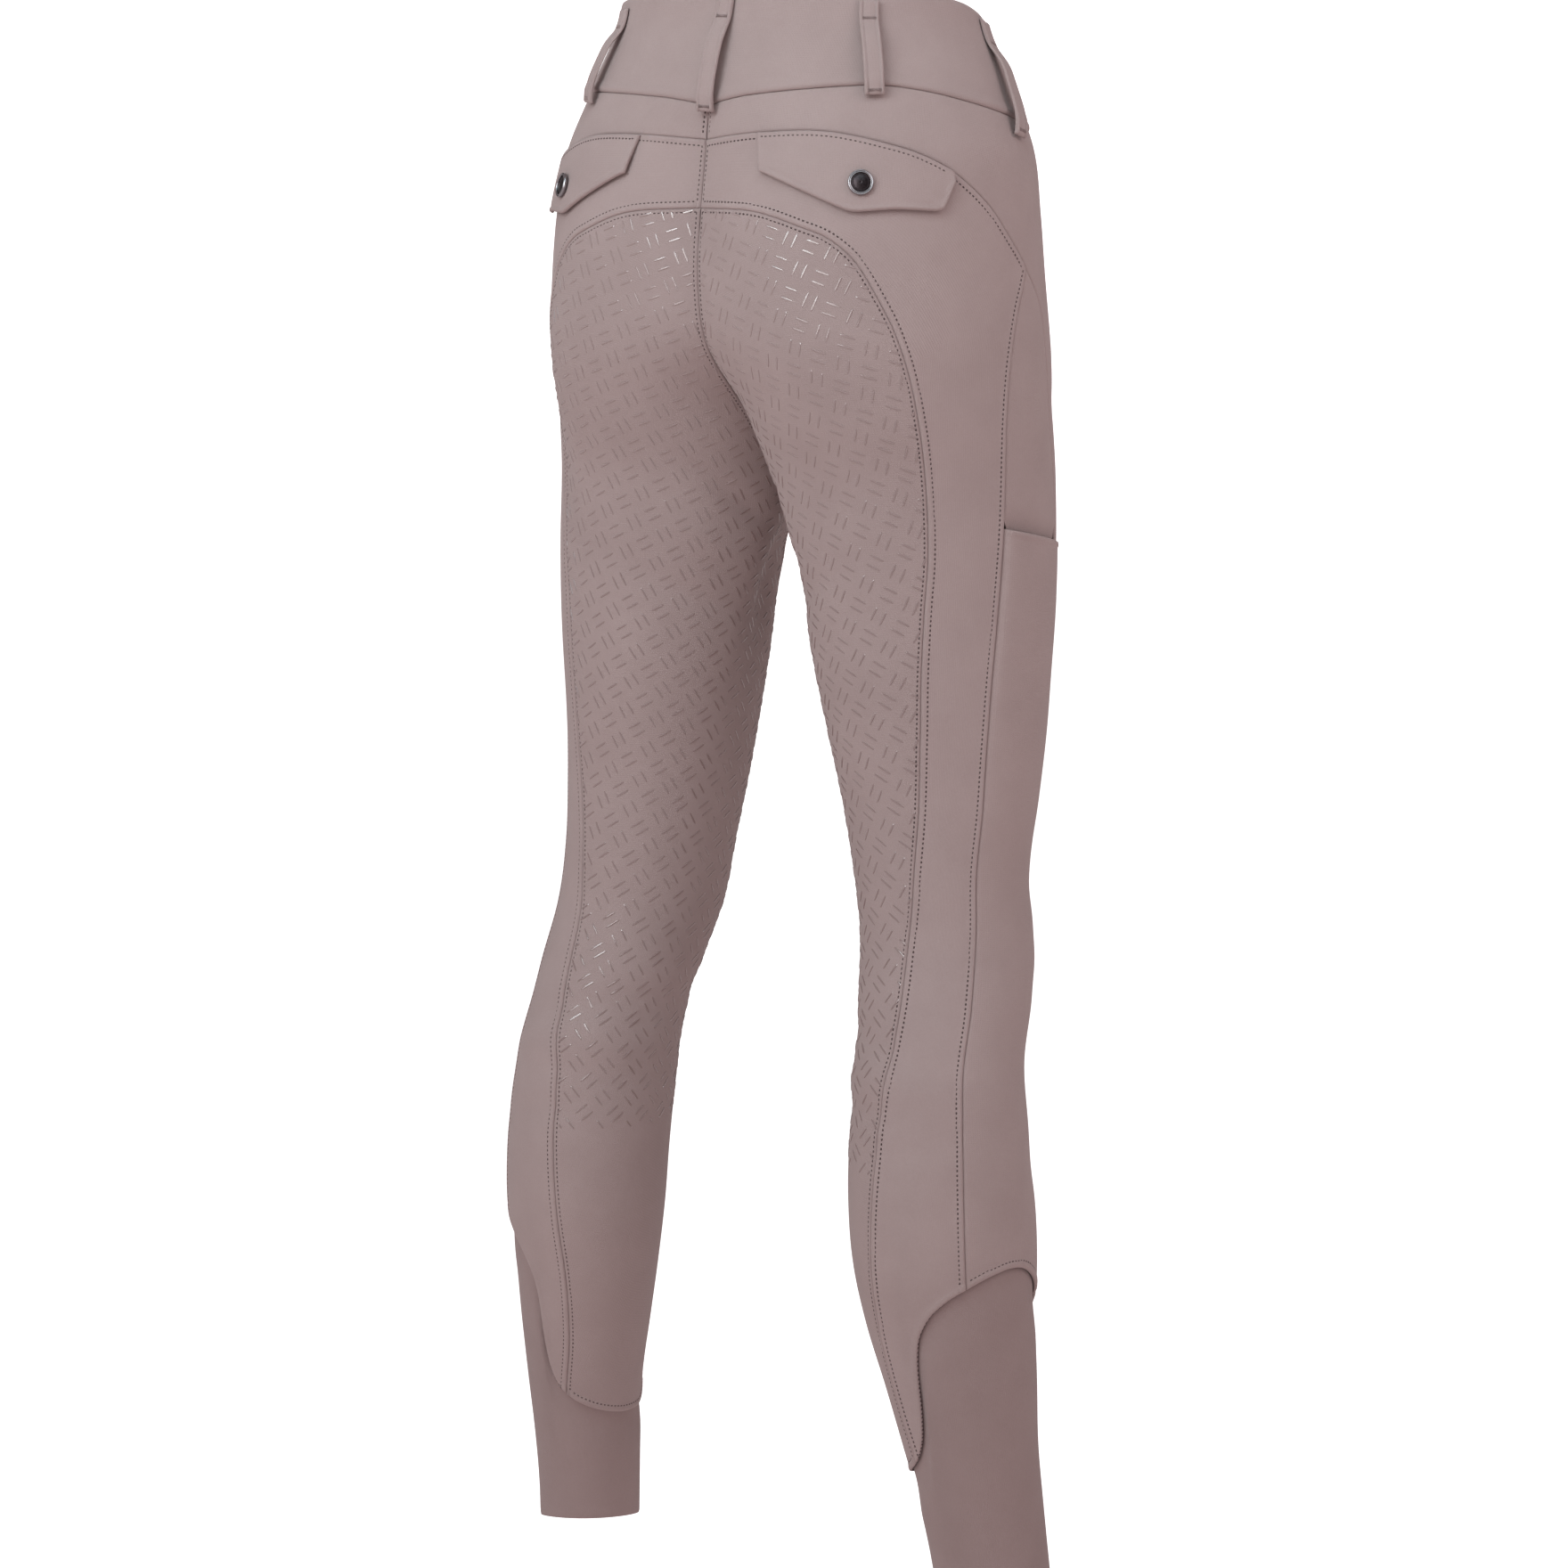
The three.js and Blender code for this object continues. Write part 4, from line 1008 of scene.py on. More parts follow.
def front_panel(side):
    """The front of the leg, with the yoke that runs on from it to the centre back."""
    t = np.linspace(0, 1, YOKE_ROWS + 1)[:, None, None]
    band = mix(waist_back[None], yoke[None, :SIDE_CORNER + 1], t)
    left = np.concatenate([band[:, -1], yoke[SIDE_CORNER + 1:], front_seam[1:]])
    right = np.concatenate([rise_front, inner_front[1:]])
    front = fill(left, right, waist_front, cuff_front[::-1], RISE_FRONT_CUTS, CUFF_BLEND)
    back_seam = straight_line(waist_back[0], yoke[0], 8)
    count = len(front) - 1
    front = finer(front, ((0, 1), (YOKE_ROWS, -1), (count, -1)), both_ends(FRONT_COLUMNS))
    band = finer(band, both_ends(YOKE_ROWS), ((0, 1),))
    edges = (
        (np.concatenate([waist_back, waist_front[1:]]), PLAIN_EDGE),
        (np.concatenate([yoke, front_seam[1:]]), PLAIN_EDGE),
        (back_seam[[0, -1]], SOFT_EDGE),
        (rise_front, FLAT_EDGE),
        (inner_front, WELT_EDGE),
        (cuff_front, CUFF_EDGE),
    )
    thigh = spot_at(side, THIGH)
    rows = (
        (rise_front, FLAT_ROW, spot_at(side, BELLY), ROW_END),
        (inner_front, WELT_ROW, thigh, ROW_END),
        (cuff_front, CUFF_ROW, thigh, ROW_END),
        (back_seam, FLAT_ROW, spot_at(side, ABOVE_YOKE), SEAM_END),
    )
    panel(side, "front-panel", [front, band], edges, rows)


def stand_off(u, z):
    """How far the phone pocket's outer cloth stands off the body."""
    drop = 1 - ease((OPENING_Z - z) / POCKET_EASE)
    return POCKET_STAND * drop * ease(np.minimum(u, 1 - u) / POCKET_SIDE)


def side_panel(side):
    left = front_seam[OPENING:]
    right = hip_seam[OPENING:]
    top = straight_line(left[0], right[0], SIDE_COLUMNS)
    grid, middle = with_edges(side, fill(left, right, top, cuff_side, CUFF_BLEND, CUFF_BLEND))
    edges = ((left, PLAIN_EDGE), (right, PLAIN_EDGE), (top, MOUTH_EDGE), (cuff_side, CUFF_EDGE))
    rows = ((cuff_side, CUFF_ROW, middle, ROW_END),)
    stand = stand_off(np.linspace(0, 1, grid.shape[1])[None, :], grid[..., 1])
    panel(side, "side-panel", [grid], edges, rows, stand)


def backing_edge(seam, way):
    """One side edge: on the seam down to just above the opening, then inset beside it."""
    mouth = seam[OPENING, 1] + POCKET_MOUTH
    foot = seam[OPENING, 1] - POCKET_DEPTH + BACKING_SHORT
    angle = smooth_curve(np.unique(seam[:, ::-1].round(6), axis=0).tolist())
    upper = np.linspace(mix(seam[0, 1], seam[1, 1], BACKING_START), mouth, OPENING)
    z = np.concatenate([upper[:-1], np.linspace(mouth, foot, 7 * FINE)])
    inset = way * BACKING_INSET / section(z)["outer"] * ease((mouth - z) / BACKING_BEND)
    return np.stack([angle(z) + inset, z], axis=-1), mouth


def pocket_backing(side):
    columns = 3 * FINE
    left, left_mouth = backing_edge(front_seam, 1)
    right, right_mouth = backing_edge(hip_seam, -1)
    u = np.linspace(0, 1, columns + 1)[None, :, None]
    grid = mix(left[:, None, :], right[:, None, :], u)
    grid = finer(grid, ((0, 1),), both_ends(columns))
    share = line_places(columns, both_ends(columns)) / columns
    mouth = mix(left_mouth, right_mouth, share)
    edges = (
        (front_seam[front_seam[:, 1] > left_mouth + 1], PLAIN_EDGE),
        (hip_seam[hip_seam[:, 1] > right_mouth + 1], PLAIN_EDGE),
    )
    sink = BACKING_SINK * ease((mouth + SINK_START - grid[..., 1]) / SINK_EASE)
    panel(side, "pocket-backing", [grid], edges, extra=-sink)


def sock_cuff(side):
    """A tube from the shaped seam to the level hem. t runs down it."""
    t = np.concatenate([[0, 0.02, 0.05], np.linspace(0.08, 0.98, 6 * FINE), [0.992, 1]])[:, None]
    count = len(cuff_ring) - 1
    even = cuff_ring[0, 0] + 2 * math.pi * np.arange(count + 1) / count
    rise_angle, rise = HEM_RISE
    hem = HEM + rise * np.maximum(0, np.cos(even - math.radians(rise_angle)))
    angle = mix(cuff_ring[None, :, 0], even[None, :], t ** 2)
    z = mix(cuff_ring[None, :, 1], hem[None], t)
    points, faces = skin(side, angle, z)
    points[0] += unit(points[0] - points[1]) * TUCK
    fullness = CUFF_FULL * ease((cuff_ring[None, :, 1] - z - 2) / CUFF_EASE)
    turn = ease((t - CUFF_TURN_START) / CUFF_TURN_SPAN)
    height = CUFF_FACE + fullness + CUFF_CREASE * relief(side, points, faces)
    height = height - CUFF_TURN_IN * turn
    outer = points + faces * height[..., None]
    inner = points + faces * (height - CUFF_WALL + CUFF_TURN_THIN * turn)[..., None]
    for face in (outer, inner):
        face[:, -1] = face[:, 0]
    shell = Shell()
    shell.add([[(i % count, j) for i in range(count + 1)] for j in range(len(t))], outer, inner)
    name = f"sock-cuff-{HALVES[side]}"
    piece, _ = shell.build(f"{name}-cloth", jersey_cloth, "jersey")
    declare(piece, "sock-cuff", [name])


# Silicone grip print: pairs of short bars, level and upright by turns

# turn: slant in degrees at the top of the seat, twist: its growth with each mm downward

GRIP = {"cell": 14.2, "gap": 6.1, "length": 9.2, "width": 1.1, "height": 0.34,
        "turn": 16.0, "twist": 0.042, "lowest": -720.0, "margin": 1.2,
        "top_margin": 1.0}
LEG_RADIUS = 70
GRIP_TOP = -134.0
GRIP_COLUMNS = range(-32, 17)
GRIP_ROWS = range(-48, 9)

# The middle line of the print: depth below the waistline, angle

GRIP_LINE = ((134, 88), (300, 112), (450, 135), (700, 150))
CHART_ROWS = 260
CHART_ANGLES = np.radians(np.linspace(-115, 105, 441))
CHART_REACH = 150
CHART_EDGE = 5
CHART_SPARE = 10
CHART_BELOW = 20
GRIP_FEWEST = 4

# One bar: shares of its length, widths and heights there. Its section: across, up

BAR_SHARES = np.array([0, 0.1, 0.35, 0.65, 0.9, 1])
BAR_WIDTHS = np.array([0.35, 0.85, 1, 1, 0.85, 0.35])
BAR_HEIGHTS = np.array([0.1, 0.85, 1, 1, 0.85, 0.1])
BAR_SECTION = ((-0.5, -0.3), (-0.4, 0.88), (0, 1), (0.4, 0.88), (0.5, -0.3))


def print_chart(side):
    """Turns flat millimetres on the seat panel into angle and height."""
    z = np.linspace(GRIP_TOP, GRIP["lowest"] - CHART_BELOW, CHART_ROWS)
    middle = np.radians(read_table(GRIP_LINE, -z))
    angles = middle[:, None] + CHART_ANGLES[None, :]
    points = surface(side, angles, z[:, None])
    run = np.linalg.norm(np.diff(points, axis=1), axis=2)
    u = np.concatenate([np.zeros((len(z), 1)), np.cumsum(run, axis=1)], axis=1)
    zero = np.array([np.interp(m, a, line) for m, a, line in zip(middle, angles, u)])
    u = u - zero[:, None]
    line = surface(side, middle, z)
    fall = np.linalg.norm(np.diff(line[:, 1:], axis=0), axis=1)
    v = np.concatenate([[0], np.cumsum(fall)])
    flat_u = np.arange(-CHART_REACH, CHART_REACH + 1)
    table = np.array([np.interp(flat_u, row_u, row_a) for row_u, row_a in zip(u, angles)])

    def chart(at_u, at_v):
        row = np.interp(at_v, v, np.arange(len(z)))
        low = np.clip(row.astype(int), 0, len(z) - 2)
        t = row - low
        column = np.clip(at_u + CHART_REACH, 0, 2 * CHART_REACH - 0.01)
        c = column.astype(int)
        s = column - c
        first = mix(table[low, c], table[low, c + 1], s)
        second = mix(table[low + 1, c], table[low + 1, c + 1], s)
        return mix(first, second, t), mix(z[low], z[low + 1], t)

    return chart, v[-1]


def inside_seat(angle, z):
    """True where a point of the body lies on the seat panel."""
    lower = seat_seam[SEAT_COLUMNS // 3:]
    upper = seat_seam[SEAT_COLUMNS - 1::-1]
    outer, rise, inner = (
        np.interp(-z, -nodes[:, 1], nodes[:, 0]) for nodes in (lower, rise_back, inner_seam))
    top = np.interp(angle, upper[:, 0], upper[:, 1])
    far = np.where(z > CROTCH, rise, inner)
    reach = GRIP["margin"] / LEG_RADIUS
    between = (angle > outer + reach) & (angle < far - reach)
    return between & (z < top - GRIP["top_margin"]) & (z > GRIP["lowest"])


def twisted(spots):
    """From the even pattern to the cloth, turned more and more with the depth."""
    turn = math.radians(GRIP["turn"])
    twist = math.radians(GRIP["twist"])
    laid = np.log(1 + twist * spots * np.exp(1j * turn)) / twist
    return laid.real, -laid.imag


def print_bars(length):
    """Middle and direction of each bar of the even pattern, as complex numbers."""
    middles = []
    ways = []
    for i in GRIP_COLUMNS:
        for j in GRIP_ROWS:
            way = 1 if (i + j) % 2 == 0 else 1j
            for half in (-0.5, 0.5):
                middles.append((i + j * 1j) * GRIP["cell"] + half * GRIP["gap"] * way * 1j)
                ways.append(way)
    u, v = twisted(np.array(middles))
    keep = (v > -CHART_SPARE) & (v < length + CHART_SPARE)
    keep &= np.abs(u) < CHART_REACH - CHART_EDGE
    return np.array(middles)[keep], np.array(ways)[keep]


def grip_print(side, name):
    """Bars of print, each as long as its stretch inside the seat panel."""
    chart, length = print_chart(side)
    middles, ways = print_bars(length)
    along = np.linspace(-0.5, 0.5, 9)
    spots = middles[:, None] + ways[:, None] * along[None, :] * GRIP["length"]
    lines = []
    for middle, way, good in zip(middles, ways, inside_seat(*chart(*twisted(spots)))):
        if good.sum() >= GRIP_FEWEST:
            low, high = along[good][[0, -1]]
            lines.append(middle + way * mix(low, high, BAR_SHARES) * GRIP["length"])
    base, face = skin(side, *chart(*twisted(np.array(lines))))
    base = base + face * relief(side, base, face)[..., None]
    across = unit(np.cross(np.gradient(base, axis=1), face))
    rings = []
    for y, up in BAR_SECTION:
        wide = across * (y * GRIP["width"] * BAR_WIDTHS)[None, :, None]
        high = up * GRIP["height"] * (BAR_HEIGHTS if up > 0 else np.ones(6))
        rings.append(base + wide + face * high[None, :, None])
    rings = np.stack(rings, axis=2)
    faces = []
    for bar in np.arange(rings[..., 0].size).reshape(rings.shape[:3]).tolist():
        for ring, following in zip(bar[:-1], bar[1:]):
            for i in range(len(ring)):
                n = (i + 1) % len(ring)
                faces.append((ring[i], ring[n], following[n], following[i]))
        faces.append(tuple(bar[0][::-1]))
        faces.append(tuple(bar[-1]))
    if side > 0:
        faces = [face[::-1] for face in faces]
    return new_piece(name, rings.reshape(-1, 3), faces, silicone, smooth=False)


# Waistband: share of its depth from the top, height of the face, thickness

BAND_PROFILE = (
    (0, -0.7), (0.012, 0.1), (0.03, 0.6), (0.06, 0.8), (0.12, 0.8), (0.5, 0.6),
    (0.84, 0.7), (0.89, 0.75), (0.93, 1.25), (0.965, 1.5), (0.985, 1.15), (1, 0.1),
)
BAND_THICK = ((0, 0.8), (0.03, 2.2), (0.06, 2.4), (1, 2.4))
BAND_WAVE = 0.35
BAND_WAVES = 5
BAND_WAVE_START = 5
BAND_WAVE_LENGTH = 22
BAND_LOW_ROWS = [0.84, 0.87, 0.89, 0.91, 0.93, 0.95, 0.965, 0.98, 0.99, 1]


def band_wave(side, angle, z):
    """Slow, shallow waves of the waistband."""
    level = np.sin((z + BAND_WAVE_START) / BAND_WAVE_LENGTH)
    return BAND_WAVE * np.sin(BAND_WAVES * angle + side) * level


def waistband():
    middle_rows = np.linspace(0.2, 0.8, 3 * FINE)
    t = np.concatenate([[0, 0.012, 0.03, 0.06, 0.12], middle_rows, BAND_LOW_ROWS])[:, None]
    half = np.concatenate([waist_back, waist_front[1:]])
    shell = Shell()
    for side in (1, -1):
        z = mix(band_top(np.degrees(half[:, 0]))[None], half[None, :, 1], t)
        angle = np.repeat(half[None, :, 0], len(t), axis=0)
        angle[:, 0] = angle_back(z[:, 0])
        angle[:, -1] = angle_front(z[:, -1])
        points, faces = skin(side, angle, z)
        height = read_table(BAND_PROFILE, t) + band_wave(side, angle, z)
        outer = offset_points(side, points, faces, height)
        inner = offset_points(side, points, faces, height - read_table(BAND_THICK, t))
        outer[:, 0, 0] = 0
        inner[:, 0, 0] = 0
        keys = []
        for j in range(len(t)):
            keys.append([("back", j)] + [(side, i, j) for i in range(1, len(half))])
        shell.add([line[::side] for line in keys], outer[:, ::side], inner[:, ::side])
    piece, _ = shell.build("waistband-cloth", shell_cloth)
    declare(piece, "waistband", ["waistband"])


# Pocket flaps: corners of the free edge as angle and height, relief beside that edge,
# where the yoke seam reaches the centre back

FLAP_EDGE = ((86.5, -115.5), (59.5, -140), (46, -138), (31, -139.4), (27, -119))
FLAP_COLUMNS = (
    86.5, 86.2, 85.5, 84, 80, 73, 67, 63, 61, 59, 57, 53, 46, 39, 34, 32, 31, 29.5, 28, 27.3, 27)
FLAP_FACE = ((0, 0.55), (0.35, 0.95), (0.8, 1.25), (2.3, 1.3), (3.0, 0.82), (4.2, 1))
FLAP_GAP = 1.2
FLAP_ROW_END = 1
YOKE_END = (110, -95.5)
FLAP_STAND = 0.55
FLAP_LIFT = 1.4
FLAP_ROUND = 2.0

# Extra lift near the end at the back: angle, spread, height. Angles of the sewn edge's ends

FLAP_END = (84, 6, 0.7)
FLAP_HELD = (27.5, 86)


def flap_bottom(angles):
    """Heights of the free edge of the flap, its corners rounded. Angles in degrees."""
    near = angles[:, None] + np.linspace(-FLAP_ROUND, FLAP_ROUND, 13)[None, :]
    return read_table(FLAP_EDGE[::-1], near).mean(axis=1)


def pocket_flap(side):
    columns = []
    for start, end in zip(FLAP_COLUMNS[:-1], FLAP_COLUMNS[1:]):
        cuts = max(1, int(round(abs(start - end) * FINE / 8)))
        columns += list(np.linspace(start, end, cuts, endpoint=False))
    columns = np.array(columns + [FLAP_COLUMNS[-1]])
    yoke_line = [(a, z) for a, z, _ in YOKE_SEAM[1:]] + [YOKE_END]
    top = smooth_curve(yoke_line)(columns) - FLAP_GAP
    bottom = flap_bottom(columns)
    t = np.concatenate([np.linspace(0, 0.9, 5 * FINE), [0.93, 0.95, 0.97, 0.985, 1]])[:, None]
    z = mix(top[None], bottom[None], t)
    points, faces = skin(side, np.radians(columns)[None] * np.ones_like(z), z)
    end, spread, extra = FLAP_END
    end_lift = extra * np.exp(-((columns[None] - end) / spread) ** 2)
    lift = FLAP_STAND + (FLAP_LIFT + end_lift) * ease(t)
    edge_angles = np.radians(np.concatenate([columns[:1], columns, columns[-1:]]))
    edge = surface(side, edge_angles, np.concatenate([top[:1], bottom, top[-1:]]))
    far = distance_to(points.reshape(-1, 3), edge).reshape(z.shape)
    inner = points + faces * lift[..., None]
    outer = points + faces * (lift + FLAP_WALL * read_table(FLAP_FACE, far))[..., None]
    name = f"pocket-flap-{HALVES[side]}"
    piece, tree = one_grid(name, outer, inner)
    low, high = np.radians(FLAP_HELD)
    held_edge = yoke[(yoke[:, 0] < high) & (yoke[:, 0] > low)]
    below_yoke = spot_at(side, BELOW_YOKE)
    threads = sew(side, name, tree, ((held_edge, WELT_ROW, below_yoke, FLAP_ROW_END),))
    declare(piece, "pocket-flap", [name])


# Buttons: radius and height round the section of the rim and of the centre

RIM = (
    (5.9, 0), (7.3, 0), (7.7, 0.35), (7.7, 1.45), (7.55, 1.9), (7.3, 2.15), (7.05, 2.2),
    (6.8, 2.05), (6.65, 1.75), (6.5, 1.75), (6.4, 2.05), (6.2, 2.2), (6.02, 2.12), (5.9, 1.75),
)
HUB = (
    (0.02, 0), (5.3, 0), (5.55, 0.3), (5.55, 1.2), (5.4, 1.42), (5.1, 1.5), (4.7, 1.42),
    (4.2, 1.5), (3.2, 1.72), (2.0, 1.84), (0.9, 1.89), (0.02, 1.9),
)
BUTTON_STEPS = 56
BAND_BUTTONS = ((12.0, -42.0), (12.0, -76.0))
BAND_BUTTON_LIFT = 1.15
FLAP_BUTTON = (56.0, -123.0)
FLAP_BUTTON_GAP = 0.2
FLAP_BUTTON_LIFT = FLAP_STAND + FLAP_LIFT + FLAP_WALL + FLAP_BUTTON_GAP


def turned(name, profile, spot, way, node, material):
    """A round piece from its section, turned about way."""
    turn = Vector((0, 0, 1)).rotation_difference(Vector(way))
    points = []
    faces = []
    count = len(profile)
    for i in range(BUTTON_STEPS):
        angle = 2 * math.pi * i / BUTTON_STEPS
        for r, h in profile:
            point = turn @ Vector((r * math.cos(angle), r * math.sin(angle), h))
            points.append(np.array(point) + spot)
        a = i * count
        b = (i + 1) % BUTTON_STEPS * count
        for k in range(count):
            n = (k + 1) % count
            faces.append((a + k, b + k, b + n, a + n))
    piece = new_piece(name, points, faces, material)
    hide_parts(node)


def button(node, side, angle, z, lift):
    way = normal(side, angle, z)
    spot = surface(side, angle, z) + way * lift
    turned(f"{node}-ring", RIM, spot, way, f"{node}-rim", bright_metal)
    turned(f"{node}-cap", HUB, spot, way, f"{node}-centre", dark_metal)


# Belt loops: name, side, top angle, foot angle, height of both ends

LOOP_WIDTH = 12.0
LOOP_STAND = 6.6
LOOP_FLAT = 1.7
BACK_LOOP = {"x": -7.0, "lean": 5.0, "start": -8.0, "end": -79.0}
LOOPS = (
    ("belt-loop-back-left", 1, 47, 51, -14, -72),
    ("belt-loop-back-right", -1, 43, 48, -14, -71),
    ("belt-loop-side-left", 1, -14, -5, -24, -94),
    ("belt-loop-side-right", -1, -14, -5, -24, -94),
    ("belt-loop-front-left", 1, -57, -65, -30, -107),
    ("belt-loop-front-right", -1, -57, -65, -30, -107),
)

# Along a loop: share, stand. Across it: share of half its width, thickness

LOOP_PATH = (
    (0, 0), (0.12, 0), (0.22, 0.06), (0.32, 0.55), (0.42, 0.95), (0.55, 1),
    (0.7, 1), (0.82, 0.95), (0.92, 0.6), (1, 0.02),
)
LOOP_FACE = (
    (-1, 0.35), (-0.96, 0.85), (-0.86, 1.2), (-0.72, 1.2), (-0.62, 0.8), (-0.5, 0.95), (0, 1),
    (0.5, 0.95), (0.62, 0.8), (0.72, 1.2), (0.86, 1.2), (0.96, 0.85), (1, 0.35),
)
LOOP_THICK = (
    (0, 0.9), (0.02, 1.35), (0.2, 1.3), (0.26, 1), (0.82, 1), (0.88, 1.4), (0.98, 1.6), (1, 1.1))
LOOP_TACKS = (0.2, 0.965)
TACK_INSET = 2.5
LOOP_EDGE = 0.25


def on_band(side, angle, z, lift):
    """Points off the faces of the band, which run straight between the solids' waist nodes."""
    angles = np.concatenate([waist_back[::FINE], waist_front[::FINE][1:]])[::-1, 0]
    k = np.clip(np.searchsorted(angles, angle) - 1, 0, len(angles) - 2)
    t = (angle - angles[k]) / (angles[k + 1] - angles[k])
    foot = mix(surface(side, angles[k], z), surface(side, angles[k + 1], z), t[:, None])
    way = normal(side, angle, z)
    return foot + way * lift[:, None], way


def on_back(x, z, lift):
    """Points off the band at the centre back."""
    part = section(z)
    reach = np.abs(x) + LOOP_WIDTH / 2
    angle = np.arccos((reach - part["centre"]) / part["inner_back"])
    foot, way = skin(1, angle, z)
    way[:, 0] = 0
    way = unit(way)
    foot[:, 0] = x
    return foot + way * lift[:, None], way


def belt_loop(name, foot, way, at):
    along = unit(np.gradient(foot, axis=0))
    across = unit(np.cross(along, way))
    out = unit(np.cross(across, along))
    thick = read_table(LOOP_THICK, at) * LOOP_WALL
    u = np.array([row[0] for row in LOOP_FACE])
    tuck = LOOP_EDGE * LOOP_WALL * (np.abs(u) > 0.95)
    inner = foot[:, None] + across[:, None] * (u * LOOP_WIDTH / 2)[None, :, None]
    inner = inner + out[:, None] * tuck[None, :, None]
    high = np.maximum(thick[:, None] * read_table(LOOP_FACE, u)[None] - tuck[None], LOOP_EDGE)
    outer = inner + out[:, None] * high[..., None]
    piece, _ = one_grid(name, outer, inner)
    tacks = Stitches()
    for share in LOOP_TACKS:
        k = int(np.argmin(np.abs(at - share)))
        tacks.bar(foot[k] + out[k] * thick[k], along[k], out[k], LOOP_WIDTH - TACK_INSET)
    threads = tacks.build(f"{name}-tacks", tack_thread)
    declare(piece, "belt-loop", [name])


def belt_loops():
    at = np.concatenate([np.linspace(0, 0.9, 8 * FINE), [0.92, 0.94, 0.96, 0.98, 0.99, 1]])
    stand = np.pad(read_table(LOOP_PATH, at), 2, mode="edge")
    stand = np.convolve(stand, np.ones(5) / 5, mode="valid")
    lift = mix(LOOP_FLAT, LOOP_STAND, stand)
    z = mix(BACK_LOOP["start"], BACK_LOOP["end"], at)
    foot, way = on_back(BACK_LOOP["x"] + BACK_LOOP["lean"] * at, z, lift)
    belt_loop("belt-loop-back", foot, way, at)
    for name, side, top, low, start, end in LOOPS:
        foot, way = on_band(side, np.radians(mix(top, low, at)), mix(start, end, at), lift)
        belt_loop(name, foot, way, at)


# Fly

FLY = {"width": 32.0, "overlap": 3.0, "length": 132.0, "wall": 1.8, "stand": 0.8, "round": 30.0,
       "slope": 0.85, "foot": 0.2}
FLY_FACE = ((0, 0.5), (0.4, 0.9), (1, 1.1), (2.5, 1.1), (3.2, 0.92), (4, 1))
FLY_ROWS = (3.2, 8.5)


def fly():
    top = front_top - 1
    foot = front_top - FLY["length"]
    z = mix(top, foot, np.linspace(0, 1, 8 * FINE))
    t = np.concatenate([[0, 0.01, 0.03], np.linspace(0.06, 0.94, 5 * FINE), [0.97, 0.99, 1]])
    below = np.maximum(0, FLY["round"] - (z - foot))
    cut = FLY["round"] - np.sqrt(np.maximum(0, FLY["round"] ** 2 - below ** 2))
    width = FLY["width"] - cut * FLY["slope"]
    x = mix(-FLY["overlap"], width[:, None], t[None])
    side = np.where(x < 0, -1, 1)
    height = np.repeat(z[:, None], len(t), axis=1)
    points, faces = skin(1, angle_at_x(np.abs(x), height), height)
    points[..., 0] *= side
    faces[..., 0] *= side
    inner = points + faces * FLY["stand"]
    edge = np.minimum(x + FLY["overlap"], width[:, None] - x)
    edge = np.minimum(edge, (z - z[-1])[:, None] + FLY["foot"])
    outer = inner + faces * (FLY["wall"] * read_table(FLY_FACE, edge))[..., None]
    piece, tree = one_grid("fly", outer, inner)
    seam = Stitches()
    for inset in FLY_ROWS:
        line, way = skin(1, angle_at_x(np.abs(np.maximum(width - inset, -1)), z), z)
        seam.row(tree, line + way * (FLY["stand"] + FLY["wall"]), SEAM_END)
    threads = seam.build("fly-stitches", thread)
    declare(piece, "fly", ["fly"])


# Assembly

waistband()
for half_side, half_name in HALVES.items():
    seat_panel(half_side)
    hip_panel(half_side)
    front_panel(half_side)
    side_panel(half_side)
    pocket_backing(half_side)
    sock_cuff(half_side)
    pocket_flap(half_side)
    button(f"flap-button-{half_name}", half_side, math.radians(FLAP_BUTTON[0]), FLAP_BUTTON[1],
           FLAP_BUTTON_LIFT)
belt_loops()
fly()
for number, (button_x, button_z) in enumerate(BAND_BUTTONS):
    button(f"waist-button-{number + 1}", 1, angle_at_x(button_x, button_z), button_z,
           BAND_BUTTON_LIFT)


# Studio

FLOOR_Z = -1.25
ROOM_REACH = 9.0
ROOM_TOP = 6.0
ROOM_GREY = 0.86
ROOM_GLOW = 0.9
ROOM_LOW = (1.0, 0.876, 0.873)
ROOM_BACK = 0.79
ROOM_FRONT = 0.2
WHITE = (1.0, 1.0, 1.0)
VIEW_TURN = math.radians(34)
BACK = Vector((-math.sin(VIEW_TURN), math.cos(VIEW_TURN), 0))
LEFT = Vector((math.cos(VIEW_TURN), math.sin(VIEW_TURN), 0))
UP = Vector((0, 0, 1))


def pale_material(name, grey, glow):
    material, tree, shader = new_material(name, {
        "Roughness": 0.9, "Emission Strength": glow, "Emission Color": WHITE + (1,)})
    noise = add_node(tree, "TexNoise", {"Scale": 3})
    colour = add_ramp(tree, noise.outputs["Fac"], (grey - 0.01,) * 3, (grey,) * 3)
    feed(tree, shader, {"Base Color": colour})
    return material


def backdrop(name, points, faces):
    """A white face that the camera sees and that casts no light on the breeches."""
    mesh = bpy.data.meshes.new(name)
    mesh.from_pydata(points, [], faces)
    mesh.materials.append(pale_material(f"{name}-pale", ROOM_GREY, ROOM_GLOW))
    piece = link(name, mesh)
    piece.visible_diffuse = False
    piece.visible_glossy = False
    piece.visible_transmission = False
    piece.visible_shadow = False


def floor_and_wall():
    corners = [(-1, -1), (1, -1), (1, 1), (-1, 1)]
    low = [(x * ROOM_REACH, y * ROOM_REACH, FLOOR_Z) for x, y in corners]
    high = [(x, y, ROOM_TOP) for x, y, _ in low]
    backdrop("floor", low, [(0, 1, 2, 3)])
    walls = [(0, 4, 5, 1), (1, 5, 6, 2), (2, 6, 7, 3), (3, 7, 4, 0), (4, 7, 6, 5)]
    backdrop("wall", low + high, walls)


